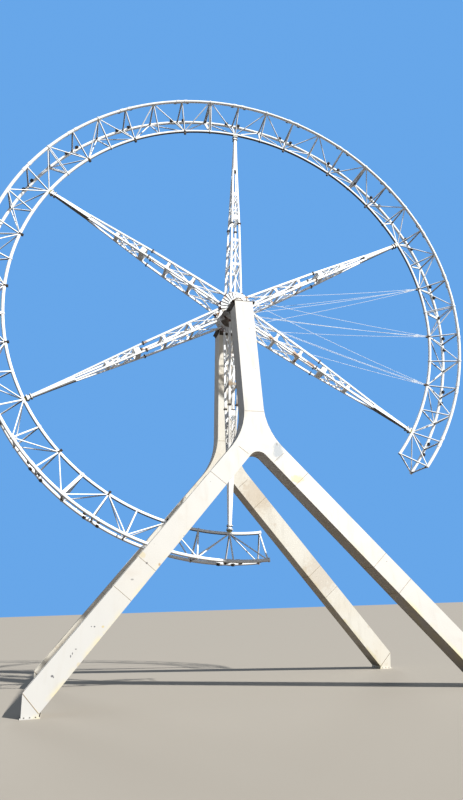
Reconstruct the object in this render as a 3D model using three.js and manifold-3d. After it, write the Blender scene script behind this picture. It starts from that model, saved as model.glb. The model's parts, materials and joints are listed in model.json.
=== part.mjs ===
// Fairground big wheel without its cabins, as a 1:2 scale model.
// Two forked box-section towers carry an axle, a hub with ribbed flanges, six lattice
// spokes and a triangular lattice rim in bolted segments, one of which is not fitted.
// Millimetres, X to the right, Y to the back, Z up, origin on the ground under the axle.

import * as THREE from 'three';
import { mergeVertices } from 'three/addons/utils/BufferGeometryUtils.js';
import Module from 'manifold-3d';

const wasm = await Module();
wasm.setup();

// Main sizes of the model.
const hubHeight = 12400;
const restAngle = 2.6;
const seamGap = 0.3;
const mergeDistance = 0.001;

// Rim: two outer chords and one inner chord, tied by a frame at every bay.
const innerChordRadius = 7850;
const outerChordRadius = 8755;
const rimHalfWidth = 575;
const chordThickness = 106;
const chordSides = 6;
const bayAngle = 7.5;
const baysPerSegment = 6;
const firstSegmentStart = -7.5;
const segmentSlots = 8;
const missingSlot = 3;
const heavyFrames = [0, 2, 6];
const frontStrut = 34;
const backStrut = 48;
const frameTie = 50;
const heavyStrut = 70;
const endFrameInset = 60;
const rimGusset = { length: 150, height: 110, thickness: 60 };

// Spokes: a lattice of four chords that narrows towards the rim and ends in a closed box.
const spokeCount = 6;
const spokeStations = {
  hub: { radius: 470, across: 195, along: 448 },
  joint: { radius: 3570, across: 135, along: 294 },
  boxStart: { radius: 6000, across: 72, along: 78 },
  boxEnd: { radius: 7585, across: 34, along: 34 },
};
const spokeChord = 66;
const innerBattenRadii = [1800, 2830];
const batten = { width: 95, thickness: 24 };
const outerPlate = { from: 3760, to: 3960 };
const outerBatten = { from: 4880, to: 5010 };
const boxCollar = 150;
const jointPlate = { side: 112, thickness: 20 };
const hubLug = { length: 120, width: 90, depth: 100, foot: 20 };
const rimSeat = { side: 205, plate: 22, neckWidth: 164, neckDepth: 120, top: 7810, spokeFace: 7720 };
const spokeNeck = { side: 120, from: 7580, plate: 22, plateSide: 180 };

// Hub and axle.
const axle = { radius: 130, halfLength: 905, sides: 24 };
const flange = { radius: 557, innerFace: 520, thickness: 30 };
const flangeBoss = { radius: 290, reach: 600 };
const drumRadius = 330;
const flangeSides = 32;
const drumSides = 16;

// Stay cables from the hub flanges to three rim joints.
const cableAngles = [75, 90, 105];
const cable = { radius: 7, sides: 5, steps: 6, sag: 60 };
const cableStart = { radius: 505, turn: 40, plane: 566, planeStep: 28 };
const cableClevis = { height: 120, width: 110, thickness: 130, cableOffset: 32 };
const cableEye = { size: 46, beyond: 12 };

// Towers: flat forked frames of box section that lean apart towards the ground.
const tower = { innerFace: 782, depth: 706, lean: 0.1675, mastHalfWidth: 302 };
const mastTopDrop = 283;
const mastSeamDrop = 4370;
const legSlope = 0.8663;
const legOuterOffset = 4015;
const legInnerOffset = 4783;
const shoulderRun = 800;
const crotchRadius = 314;
const curveSteps = 6;
const forkEndDrop = 6540;
const kneeDrop = 11860;
const kneeCutDrop = 440;
const footPlate = { thickness: 28, margin: 35 };

// Bearings on the tower heads.
const seat = { halfWidth: 396, thickness: 24, innerReach: 640, bite: 5 };
const seatWedge = { drop: 115, inset: 70 };
const seatCorbelDrop = 220;
const housing = { innerFace: 655, outerFace: 885, baseHalfWidth: 330, baseHeight: 190, capRadius: 186 };
const capSteps = 8;

// Finishes.
const paintedSteel = { color: 0xf4f1ea, roughness: 0.5, metalness: 0.1 };
const darkSteel = { color: 0x4a433d, roughness: 0.7, metalness: 0.4 };
const bareSteel = { color: 0x8a8680, roughness: 0.45, metalness: 0.8 };
const cableSteel = { color: 0xb9bcc0, roughness: 0.4, metalness: 0.7 };

const axleDirection = new THREE.Vector3(0, 1, 0);
const upDirection = new THREE.Vector3(0, 0, 1);
const radians = THREE.MathUtils.degToRad;
const nearlyParallel = 0.95;

// Turns a closed geometry into a solid, with its faces pointing out.
function toSolid(geometry) {
  const bare = geometry.clone();
  bare.deleteAttribute('normal');
  bare.deleteAttribute('uv');
  const merged = mergeVertices(bare, mergeDistance);
  const triangles = Uint32Array.from(merged.index.array);
  if (signedVolume(merged.attributes.position, triangles) < 0) {
    for (let i = 0; i < triangles.length; i += 3) {
      const second = triangles[i + 1];
      triangles[i + 1] = triangles[i + 2];
      triangles[i + 2] = second;
    }
  }
  return new wasm.Manifold(new wasm.Mesh({
    numProp: 3,
    vertProperties: Float32Array.from(merged.attributes.position.array),
    triVerts: triangles,
  }));
}

function signedVolume(position, triangles) {
  const a = new THREE.Vector3();
  const b = new THREE.Vector3();
  const c = new THREE.Vector3();
  let sum = 0;
  for (let i = 0; i < triangles.length; i += 3) {
    a.fromBufferAttribute(position, triangles[i]);
    b.fromBufferAttribute(position, triangles[i + 1]);
    c.fromBufferAttribute(position, triangles[i + 2]);
    sum += a.dot(b.cross(c));
  }
  return sum / 6;
}

function toGeometry(solid) {
  const mesh = solid.getMesh();
  const geometry = new THREE.BufferGeometry();
  geometry.setAttribute('position', new THREE.BufferAttribute(mesh.vertProperties, 3));
  geometry.setIndex(new THREE.BufferAttribute(mesh.triVerts, 1));
  geometry.computeVertexNormals();
  return geometry;
}

function join(geometries) {
  return geometries.map(toSolid).reduce((whole, piece) => whole.add(piece));
}

function addMesh(group, name, solid, finish) {
  const mesh = new THREE.Mesh(toGeometry(solid), new THREE.MeshStandardMaterial(finish));
  mesh.name = name;
  group.add(mesh);
}

// A straight bar; thickness is measured across its flats.
function bar(from, to, thickness, sides = 4) {
  const direction = to.clone().sub(from);
  const radius = thickness / 2 / Math.cos(Math.PI / sides);
  const geometry = new THREE.CylinderGeometry(radius, radius, direction.length(), sides);
  geometry.rotateY(Math.PI / sides);
  return alongDirection(geometry, from.clone().add(to).multiplyScalar(0.5), direction);
}

// Lays a geometry's Y axis along a direction, with its Z axis square to the axle where it can be.
function alongDirection(geometry, centre, direction) {
  const y = direction.clone().normalize();
  const reference = Math.abs(y.dot(axleDirection)) > nearlyParallel ? upDirection : axleDirection;
  const x = reference.clone().cross(y).normalize();
  const z = x.clone().cross(y);
  geometry.applyMatrix4(new THREE.Matrix4().makeBasis(x, y, z));
  geometry.translate(centre.x, centre.y, centre.z);
  return geometry;
}

// A point of the wheel by angle clockwise from the top, radius, sideways offset and depth.
function wheelPoint(angle, radius, across, depth) {
  const turn = radians(angle);
  return new THREE.Vector3(
    radius * Math.sin(turn) + across * Math.cos(turn),
    depth,
    radius * Math.cos(turn) - across * Math.sin(turn),
  );
}

// A box placed on the wheel: its sizes run outwards, across and along the axle.
function wheelBox(angle, radius, across, depth, outward, acrossSize, depthSize) {
  const geometry = new THREE.BoxGeometry(acrossSize, depthSize, outward);
  geometry.rotateY(radians(angle));
  const place = wheelPoint(angle, radius, across, depth);
  geometry.translate(place.x, place.y, place.z);
  return geometry;
}

// Rim.

// A chord is straight past each frame and bends midway between frames.
class ChordLine extends THREE.Curve {
  constructor(radius, depth, start, end) {
    super();
    this.radius = radius;
    this.depth = depth;
    this.start = start;
    this.end = end;
  }

  getPoint(t) {
    const angle = THREE.MathUtils.lerp(this.start, this.end, t);
    const atBend = t > 0 && t < 1;
    const radius = atBend ? this.radius / Math.cos(radians(bayAngle / 2)) : this.radius;
    return wheelPoint(angle, radius, 0, this.depth);
  }

  getTangent(t) {
    const angle = THREE.MathUtils.lerp(this.start, this.end, t);
    return wheelPoint(angle + 90, 1, 0, 0);
  }

  getUtoTmapping(u) {
    const ring = Math.round(u * (baysPerSegment + 1));
    return THREE.MathUtils.clamp((ring - 0.5) / baysPerSegment, 0, 1);
  }
}

function polygonShape(sides, thickness) {
  const radius = thickness / 2 / Math.cos(Math.PI / sides);
  const points = [];
  for (let i = 0; i < sides; i++) {
    const turn = (2 * Math.PI * i) / sides;
    points.push(new THREE.Vector2(radius * Math.cos(turn), radius * Math.sin(turn)));
  }
  return new THREE.Shape(points);
}

function rimChord(radius, depth, start, end) {
  const path = new ChordLine(radius, depth, start, end);
  return new THREE.ExtrudeGeometry(polygonShape(chordSides, chordThickness), {
    steps: baysPerSegment + 1,
    extrudePath: path,
    bevelEnabled: false,
  });
}

// One triangular frame across the rim.
function rimFrame(angle, across, heavy) {
  const front = wheelPoint(angle, outerChordRadius, across, -rimHalfWidth);
  const back = wheelPoint(angle, outerChordRadius, across, rimHalfWidth);
  const inner = wheelPoint(angle, innerChordRadius, across, 0);
  return [
    bar(front, inner, heavy ? heavyStrut : frontStrut),
    bar(back, inner, heavy ? heavyStrut : backStrut),
    bar(front, back, heavy ? heavyStrut : frameTie),
  ];
}

function rimSegment(start) {
  const gapAngle = THREE.MathUtils.radToDeg(seamGap / 2 / innerChordRadius);
  const first = start + gapAngle;
  const last = start + bayAngle * baysPerSegment - gapAngle;
  const pieces = [];
  for (const [radius, depth] of [
    [outerChordRadius, -rimHalfWidth],
    [outerChordRadius, rimHalfWidth],
    [innerChordRadius, 0],
  ]) {
    pieces.push(rimChord(radius, depth, first, last));
  }
  for (let bay = 0; bay <= baysPerSegment; bay++) {
    const angle = start + bay * bayAngle;
    const inset = bay === 0 ? endFrameInset : bay === baysPerSegment ? -endFrameInset : 0;
    pieces.push(...rimFrame(angle, inset, heavyFrames.includes(bay)));
    const cabinStation = bay % 2 === 1;
    if (cabinStation) {
      pieces.push(...rimJoint(angle));
    }
  }
  return join(pieces);
}

function isSpokeAngle(angle) {
  return angle % (360 / spokeCount) === 0;
}

// The inner joint of a cabin station: a spoke seat, a plain gusset, or a bare chord above a stay clevis.
function rimJoint(angle) {
  if (cableAngles.includes(angle)) {
    return [];
  }
  if (!isSpokeAngle(angle)) {
    const radius = innerChordRadius - rimGusset.height / 2;
    return [wheelBox(angle, radius, 0, 0, rimGusset.height, rimGusset.length, rimGusset.thickness)];
  }
  const plateMiddle = rimSeat.spokeFace + seamGap / 2 + rimSeat.plate / 2;
  const neckBottom = plateMiddle;
  const neckTop = rimSeat.top + rimSeat.plate / 2;
  return [
    wheelBox(angle, plateMiddle, 0, 0, rimSeat.plate, rimSeat.side, rimSeat.side),
    wheelBox(
      angle, (neckBottom + neckTop) / 2, 0, 0,
      neckTop - neckBottom, rimSeat.neckWidth, rimSeat.neckDepth,
    ),
  ];
}

// Spokes.

function atRadius(radius, from, to) {
  const t = (radius - from.radius) / (to.radius - from.radius);
  return {
    radius,
    across: THREE.MathUtils.lerp(from.across, to.across, t),
    along: THREE.MathUtils.lerp(from.along, to.along, t),
  };
}

function spokeCorner(angle, station, acrossSide, depthSide) {
  return wheelPoint(angle, station.radius, acrossSide * station.across, depthSide * station.along);
}

const corners = [[-1, -1], [1, -1], [1, 1], [-1, 1]];

function spokeChords(angle, from, to) {
  return corners.map(([across, depth]) => bar(
    spokeCorner(angle, from, across, depth),
    spokeCorner(angle, to, across, depth),
    spokeChord,
  ));
}

// A ring of flat plates around the four chords.
function spokeRing(angle, station, width, thickness) {
  const plates = [];
  const { radius, across, along } = station;
  const fullAcross = 2 * across + thickness;
  const fullAlong = 2 * along + thickness;
  for (const side of [-1, 1]) {
    plates.push(wheelBox(angle, radius, 0, side * along, width, fullAcross, thickness));
    plates.push(wheelBox(angle, radius, side * across, 0, width, thickness, fullAlong));
  }
  return plates;
}

function jointPlates(angle, station, outwardShift) {
  return corners.map(([across, depth]) => wheelBox(
    angle,
    station.radius + outwardShift,
    across * station.across,
    depth * station.along,
    jointPlate.thickness,
    jointPlate.side,
    jointPlate.side,
  ));
}

function innerSpoke(angle) {
  const { hub, joint } = spokeStations;
  const top = atRadius(joint.radius - jointPlate.thickness / 2, hub, joint);
  const pieces = spokeChords(angle, hub, top);
  for (const radius of innerBattenRadii) {
    pieces.push(...spokeRing(angle, atRadius(radius, hub, joint), batten.width, batten.thickness));
  }
  pieces.push(...jointPlates(angle, joint, -jointPlate.thickness / 2 - seamGap / 2));
  const lugRadius = hub.radius + hubLug.length / 2 - hubLug.foot;
  const lugDepth = flange.innerFace - seamGap - hubLug.depth / 2;
  for (const [across, depth] of corners) {
    pieces.push(wheelBox(
      angle, lugRadius, across * hub.across, depth * lugDepth,
      hubLug.length, hubLug.width, hubLug.depth,
    ));
  }
  return join(pieces);
}

// A cube from -1 to 1 whose two ends are moved onto two stations of a spoke.
function taperedBox(angle, from, to) {
  const geometry = new THREE.BoxGeometry(2, 2, 2);
  const position = geometry.attributes.position;
  for (let i = 0; i < position.count; i++) {
    const station = position.getZ(i) > 0 ? to : from;
    const across = position.getX(i) * (station.across + spokeChord / 2);
    const depth = position.getY(i) * (station.along + spokeChord / 2);
    const place = wheelPoint(angle, station.radius, across, depth);
    position.setXYZ(i, place.x, place.y, place.z);
  }
  return geometry;
}

function outerSpoke(angle) {
  const { joint, boxStart, boxEnd } = spokeStations;
  const bottom = atRadius(joint.radius + jointPlate.thickness / 2, joint, boxStart);
  const pieces = spokeChords(angle, bottom, atRadius(boxStart.radius + boxCollar, joint, boxStart));
  pieces.push(...jointPlates(angle, joint, jointPlate.thickness / 2 + seamGap / 2));
  for (const ring of [outerPlate, outerBatten]) {
    const middle = atRadius((ring.from + ring.to) / 2, joint, boxStart);
    pieces.push(...spokeRing(angle, middle, ring.to - ring.from, batten.thickness));
  }
  pieces.push(taperedBox(angle, boxStart, boxEnd));
  const neckTop = rimSeat.spokeFace - seamGap / 2;
  pieces.push(wheelBox(
    angle, (spokeNeck.from + neckTop) / 2, 0, 0,
    neckTop - spokeNeck.from, spokeNeck.side, spokeNeck.side,
  ));
  for (const radius of [boxEnd.radius + spokeNeck.plate / 2, neckTop - spokeNeck.plate / 2]) {
    pieces.push(wheelBox(angle, radius, 0, 0, spokeNeck.plate, spokeNeck.plateSide, spokeNeck.plateSide));
  }
  return join(pieces);
}

// Hub and axle.

function disc(radius, from, to, sides) {
  const geometry = new THREE.CylinderGeometry(radius, radius, to - from, sides);
  geometry.translate(0, (from + to) / 2, 0);
  return geometry;
}

// Cuts the axle's hole; a running bore also clears the axle's corners as it turns.
function withBore(solid, running = false) {
  const corner = running ? Math.cos(Math.PI / axle.sides) : 1;
  const bore = disc((axle.radius + seamGap) / corner, -axle.halfLength, axle.halfLength, axle.sides);
  return solid.subtract(toSolid(bore));
}

function hubFlange(side) {
  const inner = side * flange.innerFace;
  const outer = side * (flange.innerFace + flange.thickness);
  const reach = side * flangeBoss.reach;
  const pieces = [
    disc(flange.radius, Math.min(inner, outer), Math.max(inner, outer), flangeSides),
    disc(flangeBoss.radius, Math.min(inner, reach), Math.max(inner, reach), drumSides),
  ];
  return withBore(join(pieces));
}

function hubDrum() {
  const reach = flange.innerFace - seamGap;
  return withBore(toSolid(disc(drumRadius, -reach, reach, drumSides)));
}

// Stay cables: four to each of three rim joints, two from each hub flange, crossing.
function stayCables(angle, layer) {
  const plane = cableStart.plane + layer * cableStart.planeStep;
  const flangeFace = flange.innerFace + flange.thickness + seamGap;
  const eyeDepth = plane + cableEye.beyond - flangeFace;
  const clevisMiddle = innerChordRadius - chordThickness / 2 - seamGap - cableClevis.height / 2;
  const pieces = [wheelBox(
    angle, clevisMiddle, 0, 0,
    cableClevis.height, cableClevis.width, cableClevis.thickness,
  )];
  for (const side of [-1, 1]) {
    for (const turn of [-1, 1]) {
      const startAngle = angle + turn * cableStart.turn;
      const start = wheelPoint(startAngle, cableStart.radius, 0, side * plane);
      const end = wheelPoint(angle, clevisMiddle, 0, side * cableClevis.cableOffset);
      const middle = start.clone().add(end).multiplyScalar(0.5);
      middle.z -= 2 * cable.sag;
      pieces.push(wheelBox(
        startAngle, cableStart.radius, 0, side * (flangeFace + eyeDepth / 2),
        cableEye.size, cableEye.size, eyeDepth,
      ));
      pieces.push(new THREE.ExtrudeGeometry(polygonShape(cable.sides, 2 * cable.radius), {
        steps: cable.steps,
        extrudePath: new THREE.QuadraticBezierCurve3(start, middle, end),
        bevelEnabled: false,
      }));
    }
  }
  return join(pieces);
}

// Towers.

// Maps a flat outline (x, drop below the axle) and a depth onto one leaning tower.
function towerPlate(shape, side, from = 0, to = tower.depth) {
  const geometry = new THREE.ExtrudeGeometry(shape, { depth: to - from, bevelEnabled: false });
  geometry.translate(0, 0, from);
  geometry.applyMatrix4(new THREE.Matrix4().set(
    1, 0, 0, 0,
    0, side * tower.lean, side, side * tower.innerFace,
    0, -1, 0, hubHeight,
    0, 0, 0, 1,
  ));
  return toSolid(geometry);
}

function outline(points) {
  return new THREE.Shape(points.map(([x, drop]) => new THREE.Vector2(x, drop)));
}

const legOuterX = (drop) => legSlope * drop - legOuterOffset;
const legInnerX = (drop) => legSlope * drop - legInnerOffset;

// Points where the leg is cut square at a given drop of its middle line.
function squareCut(drop) {
  const length = Math.hypot(legSlope, 1);
  const half = (legInnerOffset - legOuterOffset) / 2 / length;
  const middle = (legOuterX(drop) + legInnerX(drop)) / 2;
  return {
    outer: [middle + half / length, drop - (half * legSlope) / length],
    inner: [middle - half / length, drop + (half * legSlope) / length],
  };
}

function mast(side) {
  const w = tower.mastHalfWidth;
  const bottom = mastSeamDrop - seamGap;
  return towerPlate(outline([[-w, mastTopDrop], [w, mastTopDrop], [w, bottom], [-w, bottom]]), side);
}

// Right half of the fork's edge from the mast seam round the shoulder to the leg cut and the crotch.
function forkEdge() {
  const w = tower.mastHalfWidth;
  const corner = (w + legOuterOffset) / legSlope;
  const length = Math.hypot(legSlope, 1);
  const above = new THREE.Vector2(w, corner - shoulderRun);
  const below = new THREE.Vector2(w + (shoulderRun * legSlope) / length, corner + shoulderRun / length);
  const bend = new THREE.QuadraticBezierCurve(above, new THREE.Vector2(w, corner), below);
  const points = [[w, mastSeamDrop]];
  for (const point of bend.getPoints(curveSteps)) {
    points.push([point.x, point.y]);
  }
  const cut = squareCut(forkEndDrop);
  points.push(cut.outer, cut.inner);
  const slant = Math.atan(legSlope);
  const apex = legInnerOffset / legSlope;
  const centre = apex + crotchRadius / Math.sin(slant);
  for (let i = 0; i < curveSteps; i++) {
    const turn = (Math.PI / 2 - slant) * (1 - i / curveSteps);
    points.push([crotchRadius * Math.sin(turn), centre - crotchRadius * Math.cos(turn)]);
  }
  return points;
}

function fork(side) {
  const right = forkEdge();
  const top = apexTop();
  const left = right.map(([x, drop]) => [-x, drop]).reverse();
  return towerPlate(outline([...right, [0, top], ...left]), side);
}

function apexTop() {
  const slant = Math.atan(legSlope);
  return legInnerOffset / legSlope + crotchRadius / Math.sin(slant) - crotchRadius;
}

// The joint between leg and foot falls from the outer knee to the inner edge.
const knee = {
  outer: [legOuterX(kneeDrop), kneeDrop],
  inner: [legInnerX(kneeDrop + kneeCutDrop), kneeDrop + kneeCutDrop],
};

function sidePlate(hand, points, side, from, to) {
  return towerPlate(outline(points.map(([x, drop]) => [hand * x, drop])), side, from, to);
}

function legPiece(hand, side) {
  const cut = squareCut(forkEndDrop + seamGap);
  return sidePlate(hand, [cut.outer, knee.outer, knee.inner, cut.inner], side);
}

function footPiece(hand, side) {
  const [outerX, outerDrop] = knee.outer;
  const [innerX, innerDrop] = knee.inner;
  const fall = seamGap * Math.SQRT2;
  const stub = sidePlate(hand, [
    [outerX, outerDrop + fall], [outerX, hubHeight], [innerX, hubHeight], [innerX, innerDrop + fall],
  ], side);
  const plateTop = hubHeight - footPlate.thickness;
  const m = footPlate.margin;
  const plate = sidePlate(hand, [
    [outerX + m, plateTop], [outerX + m, hubHeight], [innerX - m, hubHeight], [innerX - m, plateTop],
  ], side, -m, tower.depth + m);
  return stub.add(plate);
}

// Bearing seat: a head plate with side wedges on the mast and a corbel under the bearing.
function bearingSeat(side) {
  const w = tower.mastHalfWidth;
  const bottom = mastTopDrop - seamGap;
  const plateMiddle = bottom - seat.thickness / 2;
  const outerReach = tower.innerFace + tower.lean * mastTopDrop + tower.depth;
  const plate = new THREE.BoxGeometry(2 * seat.halfWidth, outerReach - seat.innerReach, seat.thickness);
  plate.translate(0, (side * (outerReach + seat.innerReach)) / 2, hubHeight - plateMiddle);
  let whole = toSolid(plate);
  for (const hand of [-1, 1]) {
    const inner = hand * (w + seamGap);
    const reach = hand * seat.halfWidth;
    const top = bottom - seat.bite;
    whole = whole.add(towerPlate(
      outline([[inner, top], [reach, top], [reach, bottom], [inner, bottom + seatWedge.drop]]),
      side, seatWedge.inset, tower.depth - seatWedge.inset,
    ));
  }
  const faceAt = (drop) => tower.innerFace + tower.lean * drop - seamGap;
  const corbel = new THREE.Shape([
    new THREE.Vector2(seat.innerReach + seat.bite, bottom - seat.bite),
    new THREE.Vector2(faceAt(bottom - seat.bite), bottom - seat.bite),
    new THREE.Vector2(faceAt(bottom + seatCorbelDrop), bottom + seatCorbelDrop),
    new THREE.Vector2(seat.innerReach + seat.bite, bottom + seat.thickness),
  ]);
  const block = new THREE.ExtrudeGeometry(corbel, { depth: 2 * w, bevelEnabled: false });
  block.applyMatrix4(new THREE.Matrix4().set(
    0, 0, 1, -w,
    side, 0, 0, 0,
    0, -1, 0, hubHeight,
    0, 0, 0, 1,
  ));
  return whole.add(toSolid(block));
}

// Plummer block with a round cap and a bore for the axle.
function bearingHousing(side) {
  const base = -(mastTopDrop - seamGap - seat.thickness) + seamGap;
  const shoulder = base + housing.baseHeight;
  const shape = new THREE.Shape();
  shape.moveTo(-housing.baseHalfWidth, base);
  shape.lineTo(housing.baseHalfWidth, base);
  shape.lineTo(housing.baseHalfWidth, shoulder);
  shape.lineTo(housing.capRadius, shoulder);
  shape.absarc(0, 0, housing.capRadius, 0, Math.PI, false);
  shape.lineTo(-housing.capRadius, shoulder);
  shape.lineTo(-housing.baseHalfWidth, shoulder);
  const block = new THREE.ExtrudeGeometry(shape, {
    depth: housing.outerFace - housing.innerFace,
    bevelEnabled: false,
    curveSegments: capSteps,
  });
  block.applyMatrix4(new THREE.Matrix4().set(
    1, 0, 0, 0,
    0, 0, side, side * housing.innerFace,
    0, 1, 0, 0,
    0, 0, 0, 1,
  ));
  return withBore(toSolid(block), true).translate(0, 0, hubHeight);
}

// Assembly.

const bigWheel = new THREE.Group();

for (const [place, side] of [['front', -1], ['back', 1]]) {
  addMesh(bigWheel, `${place}_tower_mast`, mast(side), paintedSteel);
  addMesh(bigWheel, `${place}_tower_fork`, fork(side), paintedSteel);
  for (const [hand, sign] of [['left', -1], ['right', 1]]) {
    addMesh(bigWheel, `${place}_${hand}_leg`, legPiece(sign, side), paintedSteel);
    addMesh(bigWheel, `${place}_${hand}_foot`, footPiece(sign, side), paintedSteel);
  }
  addMesh(bigWheel, `${place}_bearing_seat`, bearingSeat(side), darkSteel);
  addMesh(bigWheel, `${place}_bearing_housing`, bearingHousing(side), darkSteel);
}

const wheel = new THREE.Group();
wheel.position.z = hubHeight;
wheel.rotation.y = radians(restAngle);
bigWheel.add(wheel);

const axleBar = disc(axle.radius, -axle.halfLength, axle.halfLength, axle.sides);
addMesh(wheel, 'main_axle', toSolid(axleBar), bareSteel);
addMesh(wheel, 'hub_drum', hubDrum(), darkSteel);
addMesh(wheel, 'front_hub_flange', hubFlange(-1), paintedSteel);
addMesh(wheel, 'back_hub_flange', hubFlange(1), paintedSteel);

for (let i = 0; i < spokeCount; i++) {
  const angle = (360 * i) / spokeCount;
  const label = String(angle).padStart(3, '0');
  addMesh(wheel, `spoke_${label}_inner_truss`, innerSpoke(angle), paintedSteel);
  addMesh(wheel, `spoke_${label}_outer_truss`, outerSpoke(angle), paintedSteel);
}

for (let slot = 0; slot < segmentSlots; slot++) {
  if (slot !== missingSlot) {
    const start = firstSegmentStart + slot * bayAngle * baysPerSegment;
    addMesh(wheel, `rim_segment_${slot + 1}`, rimSegment(start), paintedSteel);
  }
}

cableAngles.forEach((angle, layer) => {
  addMesh(wheel, `stay_cables_${String(angle).padStart(3, '0')}`, stayCables(angle, layer), cableSteel);
});

export default bigWheel;
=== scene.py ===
import json
import math
import bmesh
import bpy
from mathutils import Matrix, Vector


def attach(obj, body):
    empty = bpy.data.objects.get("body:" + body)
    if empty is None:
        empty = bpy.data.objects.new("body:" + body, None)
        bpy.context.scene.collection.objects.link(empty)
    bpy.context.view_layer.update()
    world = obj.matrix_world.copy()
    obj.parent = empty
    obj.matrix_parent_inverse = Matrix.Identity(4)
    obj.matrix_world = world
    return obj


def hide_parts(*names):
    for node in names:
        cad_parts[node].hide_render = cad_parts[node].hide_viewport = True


# Half-size fairground wheel without cabins: paint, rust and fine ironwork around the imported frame.
# Metres, X to the right, Y to the back along the axle, Z up.

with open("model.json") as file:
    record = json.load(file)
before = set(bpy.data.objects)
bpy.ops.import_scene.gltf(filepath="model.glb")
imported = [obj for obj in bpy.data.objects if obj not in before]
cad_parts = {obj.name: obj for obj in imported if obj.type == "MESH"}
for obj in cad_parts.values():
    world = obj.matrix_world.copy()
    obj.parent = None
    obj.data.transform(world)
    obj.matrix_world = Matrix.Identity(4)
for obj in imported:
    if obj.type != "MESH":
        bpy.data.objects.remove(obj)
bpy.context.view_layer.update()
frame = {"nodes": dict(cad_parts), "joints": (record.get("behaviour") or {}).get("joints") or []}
print("frame loaded:", len(frame["nodes"]), "nodes")

hubCentre = Vector(frame["joints"][0]["pos_m"])

wheelLayout = {
    "restAngle": 2.6,  # degrees the wheel stands past an upright spoke
    "innerRadius": 7.85,
    "outerRadius": 8.755,
    "halfWidth": 0.575,
    "bay": 7.5,
    "baysPerSegment": 6,
    "firstSegmentStart": -7.5,
    "segments": (1, 2, 3, 5, 6, 7, 8),
    "spokeAngles": (0, 60, 120, 180, 240, 300),
    "cableAngles": (75, 90, 105),
}
rimChords = (  # radius, and place along the axle
    (wheelLayout["outerRadius"], -wheelLayout["halfWidth"]),
    (wheelLayout["outerRadius"], wheelLayout["halfWidth"]),
    (wheelLayout["innerRadius"], 0.0),
)

towerLayout = {
    "innerFace": 0.782,
    "depth": 0.706,
    "lean": 0.1675,
    "mastHalfWidth": 0.302,
    "mastTop": 0.283,  # drop below the axle
    "legSlope": 0.8663,
    "legOuter": 4.015,
    "legInner": 4.783,
    "shoulderRun": 0.8,
    "crotchRadius": 0.314,
    "knee": ((6.259, 11.86), (5.872, 12.30)),  # outer and inner end of the joint above the foot
    "side": {"front": -1, "back": 1},
}

both = (-1, 1)
corners = [(side, corner) for side in both for corner in both]
one = (1, 1, 1)
flat = Matrix.Identity(3)


# Places on the wheel and on the towers


def wheelPoint(angle, radius, across=0.0, depth=0.0):
    turn = math.radians(angle + wheelLayout["restAngle"])
    x = radius * math.sin(turn) + across * math.cos(turn)
    z = radius * math.cos(turn) - across * math.sin(turn)
    return Vector((x, depth, hubCentre.z + z))


def wheelTurn(angle, tilt=0.0):
    # local Z points outwards on the wheel, Y along the axle; tilt leans Z towards the axle
    turn = Matrix.Rotation(math.radians(angle + wheelLayout["restAngle"]), 3, "Y")
    return turn @ Matrix.Rotation(math.radians(tilt), 3, "X")


def towerPoint(place, x, drop, depth=0.0):
    y = towerLayout["innerFace"] + towerLayout["lean"] * drop + depth
    return Vector((x, towerLayout["side"][place] * y, hubCentre.z - drop))


def bayAngle(number, bay=0):
    bays = (number - 1) * wheelLayout["baysPerSegment"] + bay
    return wheelLayout["firstSegmentStart"] + bays * wheelLayout["bay"]


def cabinStations():
    bays = range(1, wheelLayout["baysPerSegment"], 2)
    return [bayAngle(number, bay) for number in wheelLayout["segments"] for bay in bays]


# Node building

socketKinds = {int: "NodeSocketInt", float: "NodeSocketFloat", tuple: "NodeSocketVector"}


def put(tree, kind, sockets=None, **settings):
    node = tree.nodes.new(kind)
    for name, value in settings.items():
        setattr(node, name, value)
    for key, value in (sockets or {}).items():
        if isinstance(value, bpy.types.NodeSocket):
            tree.links.new(value, node.inputs[key])
        else:
            node.inputs[key].default_value = value
    return node


def made(tree, kind, sockets=None, **settings):
    return put(tree, kind, sockets, **settings).outputs[0]


def addInputs(tree, values):
    for name, value in values.items():
        socket = tree.interface.new_socket(name, in_out="INPUT", socket_type=socketKinds[type(value)])
        socket.default_value = value


def endGroup(tree, result, name, kind):
    tree.interface.new_socket(name, in_out="OUTPUT", socket_type=kind)
    end = put(tree, "NodeGroupOutput")
    tree.links.new(result, end.inputs[name])
    return tree


def mathNode(tree, operation, first, second=0.0):
    return made(tree, "ShaderNodeMath", {0: first, 1: second}, operation=operation)


def times(tree, first, second):
    return mathNode(tree, "MULTIPLY", first, second)


def vectorNode(tree, operation, first, second=(0, 0, 0)):
    output = "Value" if operation in ("LENGTH", "DOT_PRODUCT") else "Vector"
    return put(tree, "ShaderNodeVectorMath", {0: first, 1: second}, operation=operation).outputs[output]


def ramp(tree, value, low, high, first=0.0, last=1.0):
    # from first at low to last at high, level outside them
    sockets = {"Value": value, "From Min": low, "From Max": high, "To Min": first, "To Max": last}
    return made(tree, "ShaderNodeMapRange", sockets, clamp=True)


def blendColor(tree, factor, base, top):
    base, top = [color if isinstance(color, bpy.types.NodeSocket) else (*color, 1) for color in (base, top)]
    return put(tree, "ShaderNodeMix", {0: factor, 6: base, 7: top}, data_type="RGBA").outputs[2]


def axisOf(tree, place, axis):
    return put(tree, "ShaderNodeSeparateXYZ", {0: place}).outputs[axis]


# Shader groups shared by the finishes

noiseDetail = {"spot": 5.0, "wave": 1.0, "peel": 2.0}


def newGroup(name, values):
    tree = bpy.data.node_groups.new(name, "ShaderNodeTree")
    tree.interface.new_socket("Vector", in_out="INPUT", socket_type="NodeSocketVector")
    addInputs(tree, values)
    return tree, put(tree, "NodeGroupInput").outputs


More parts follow.
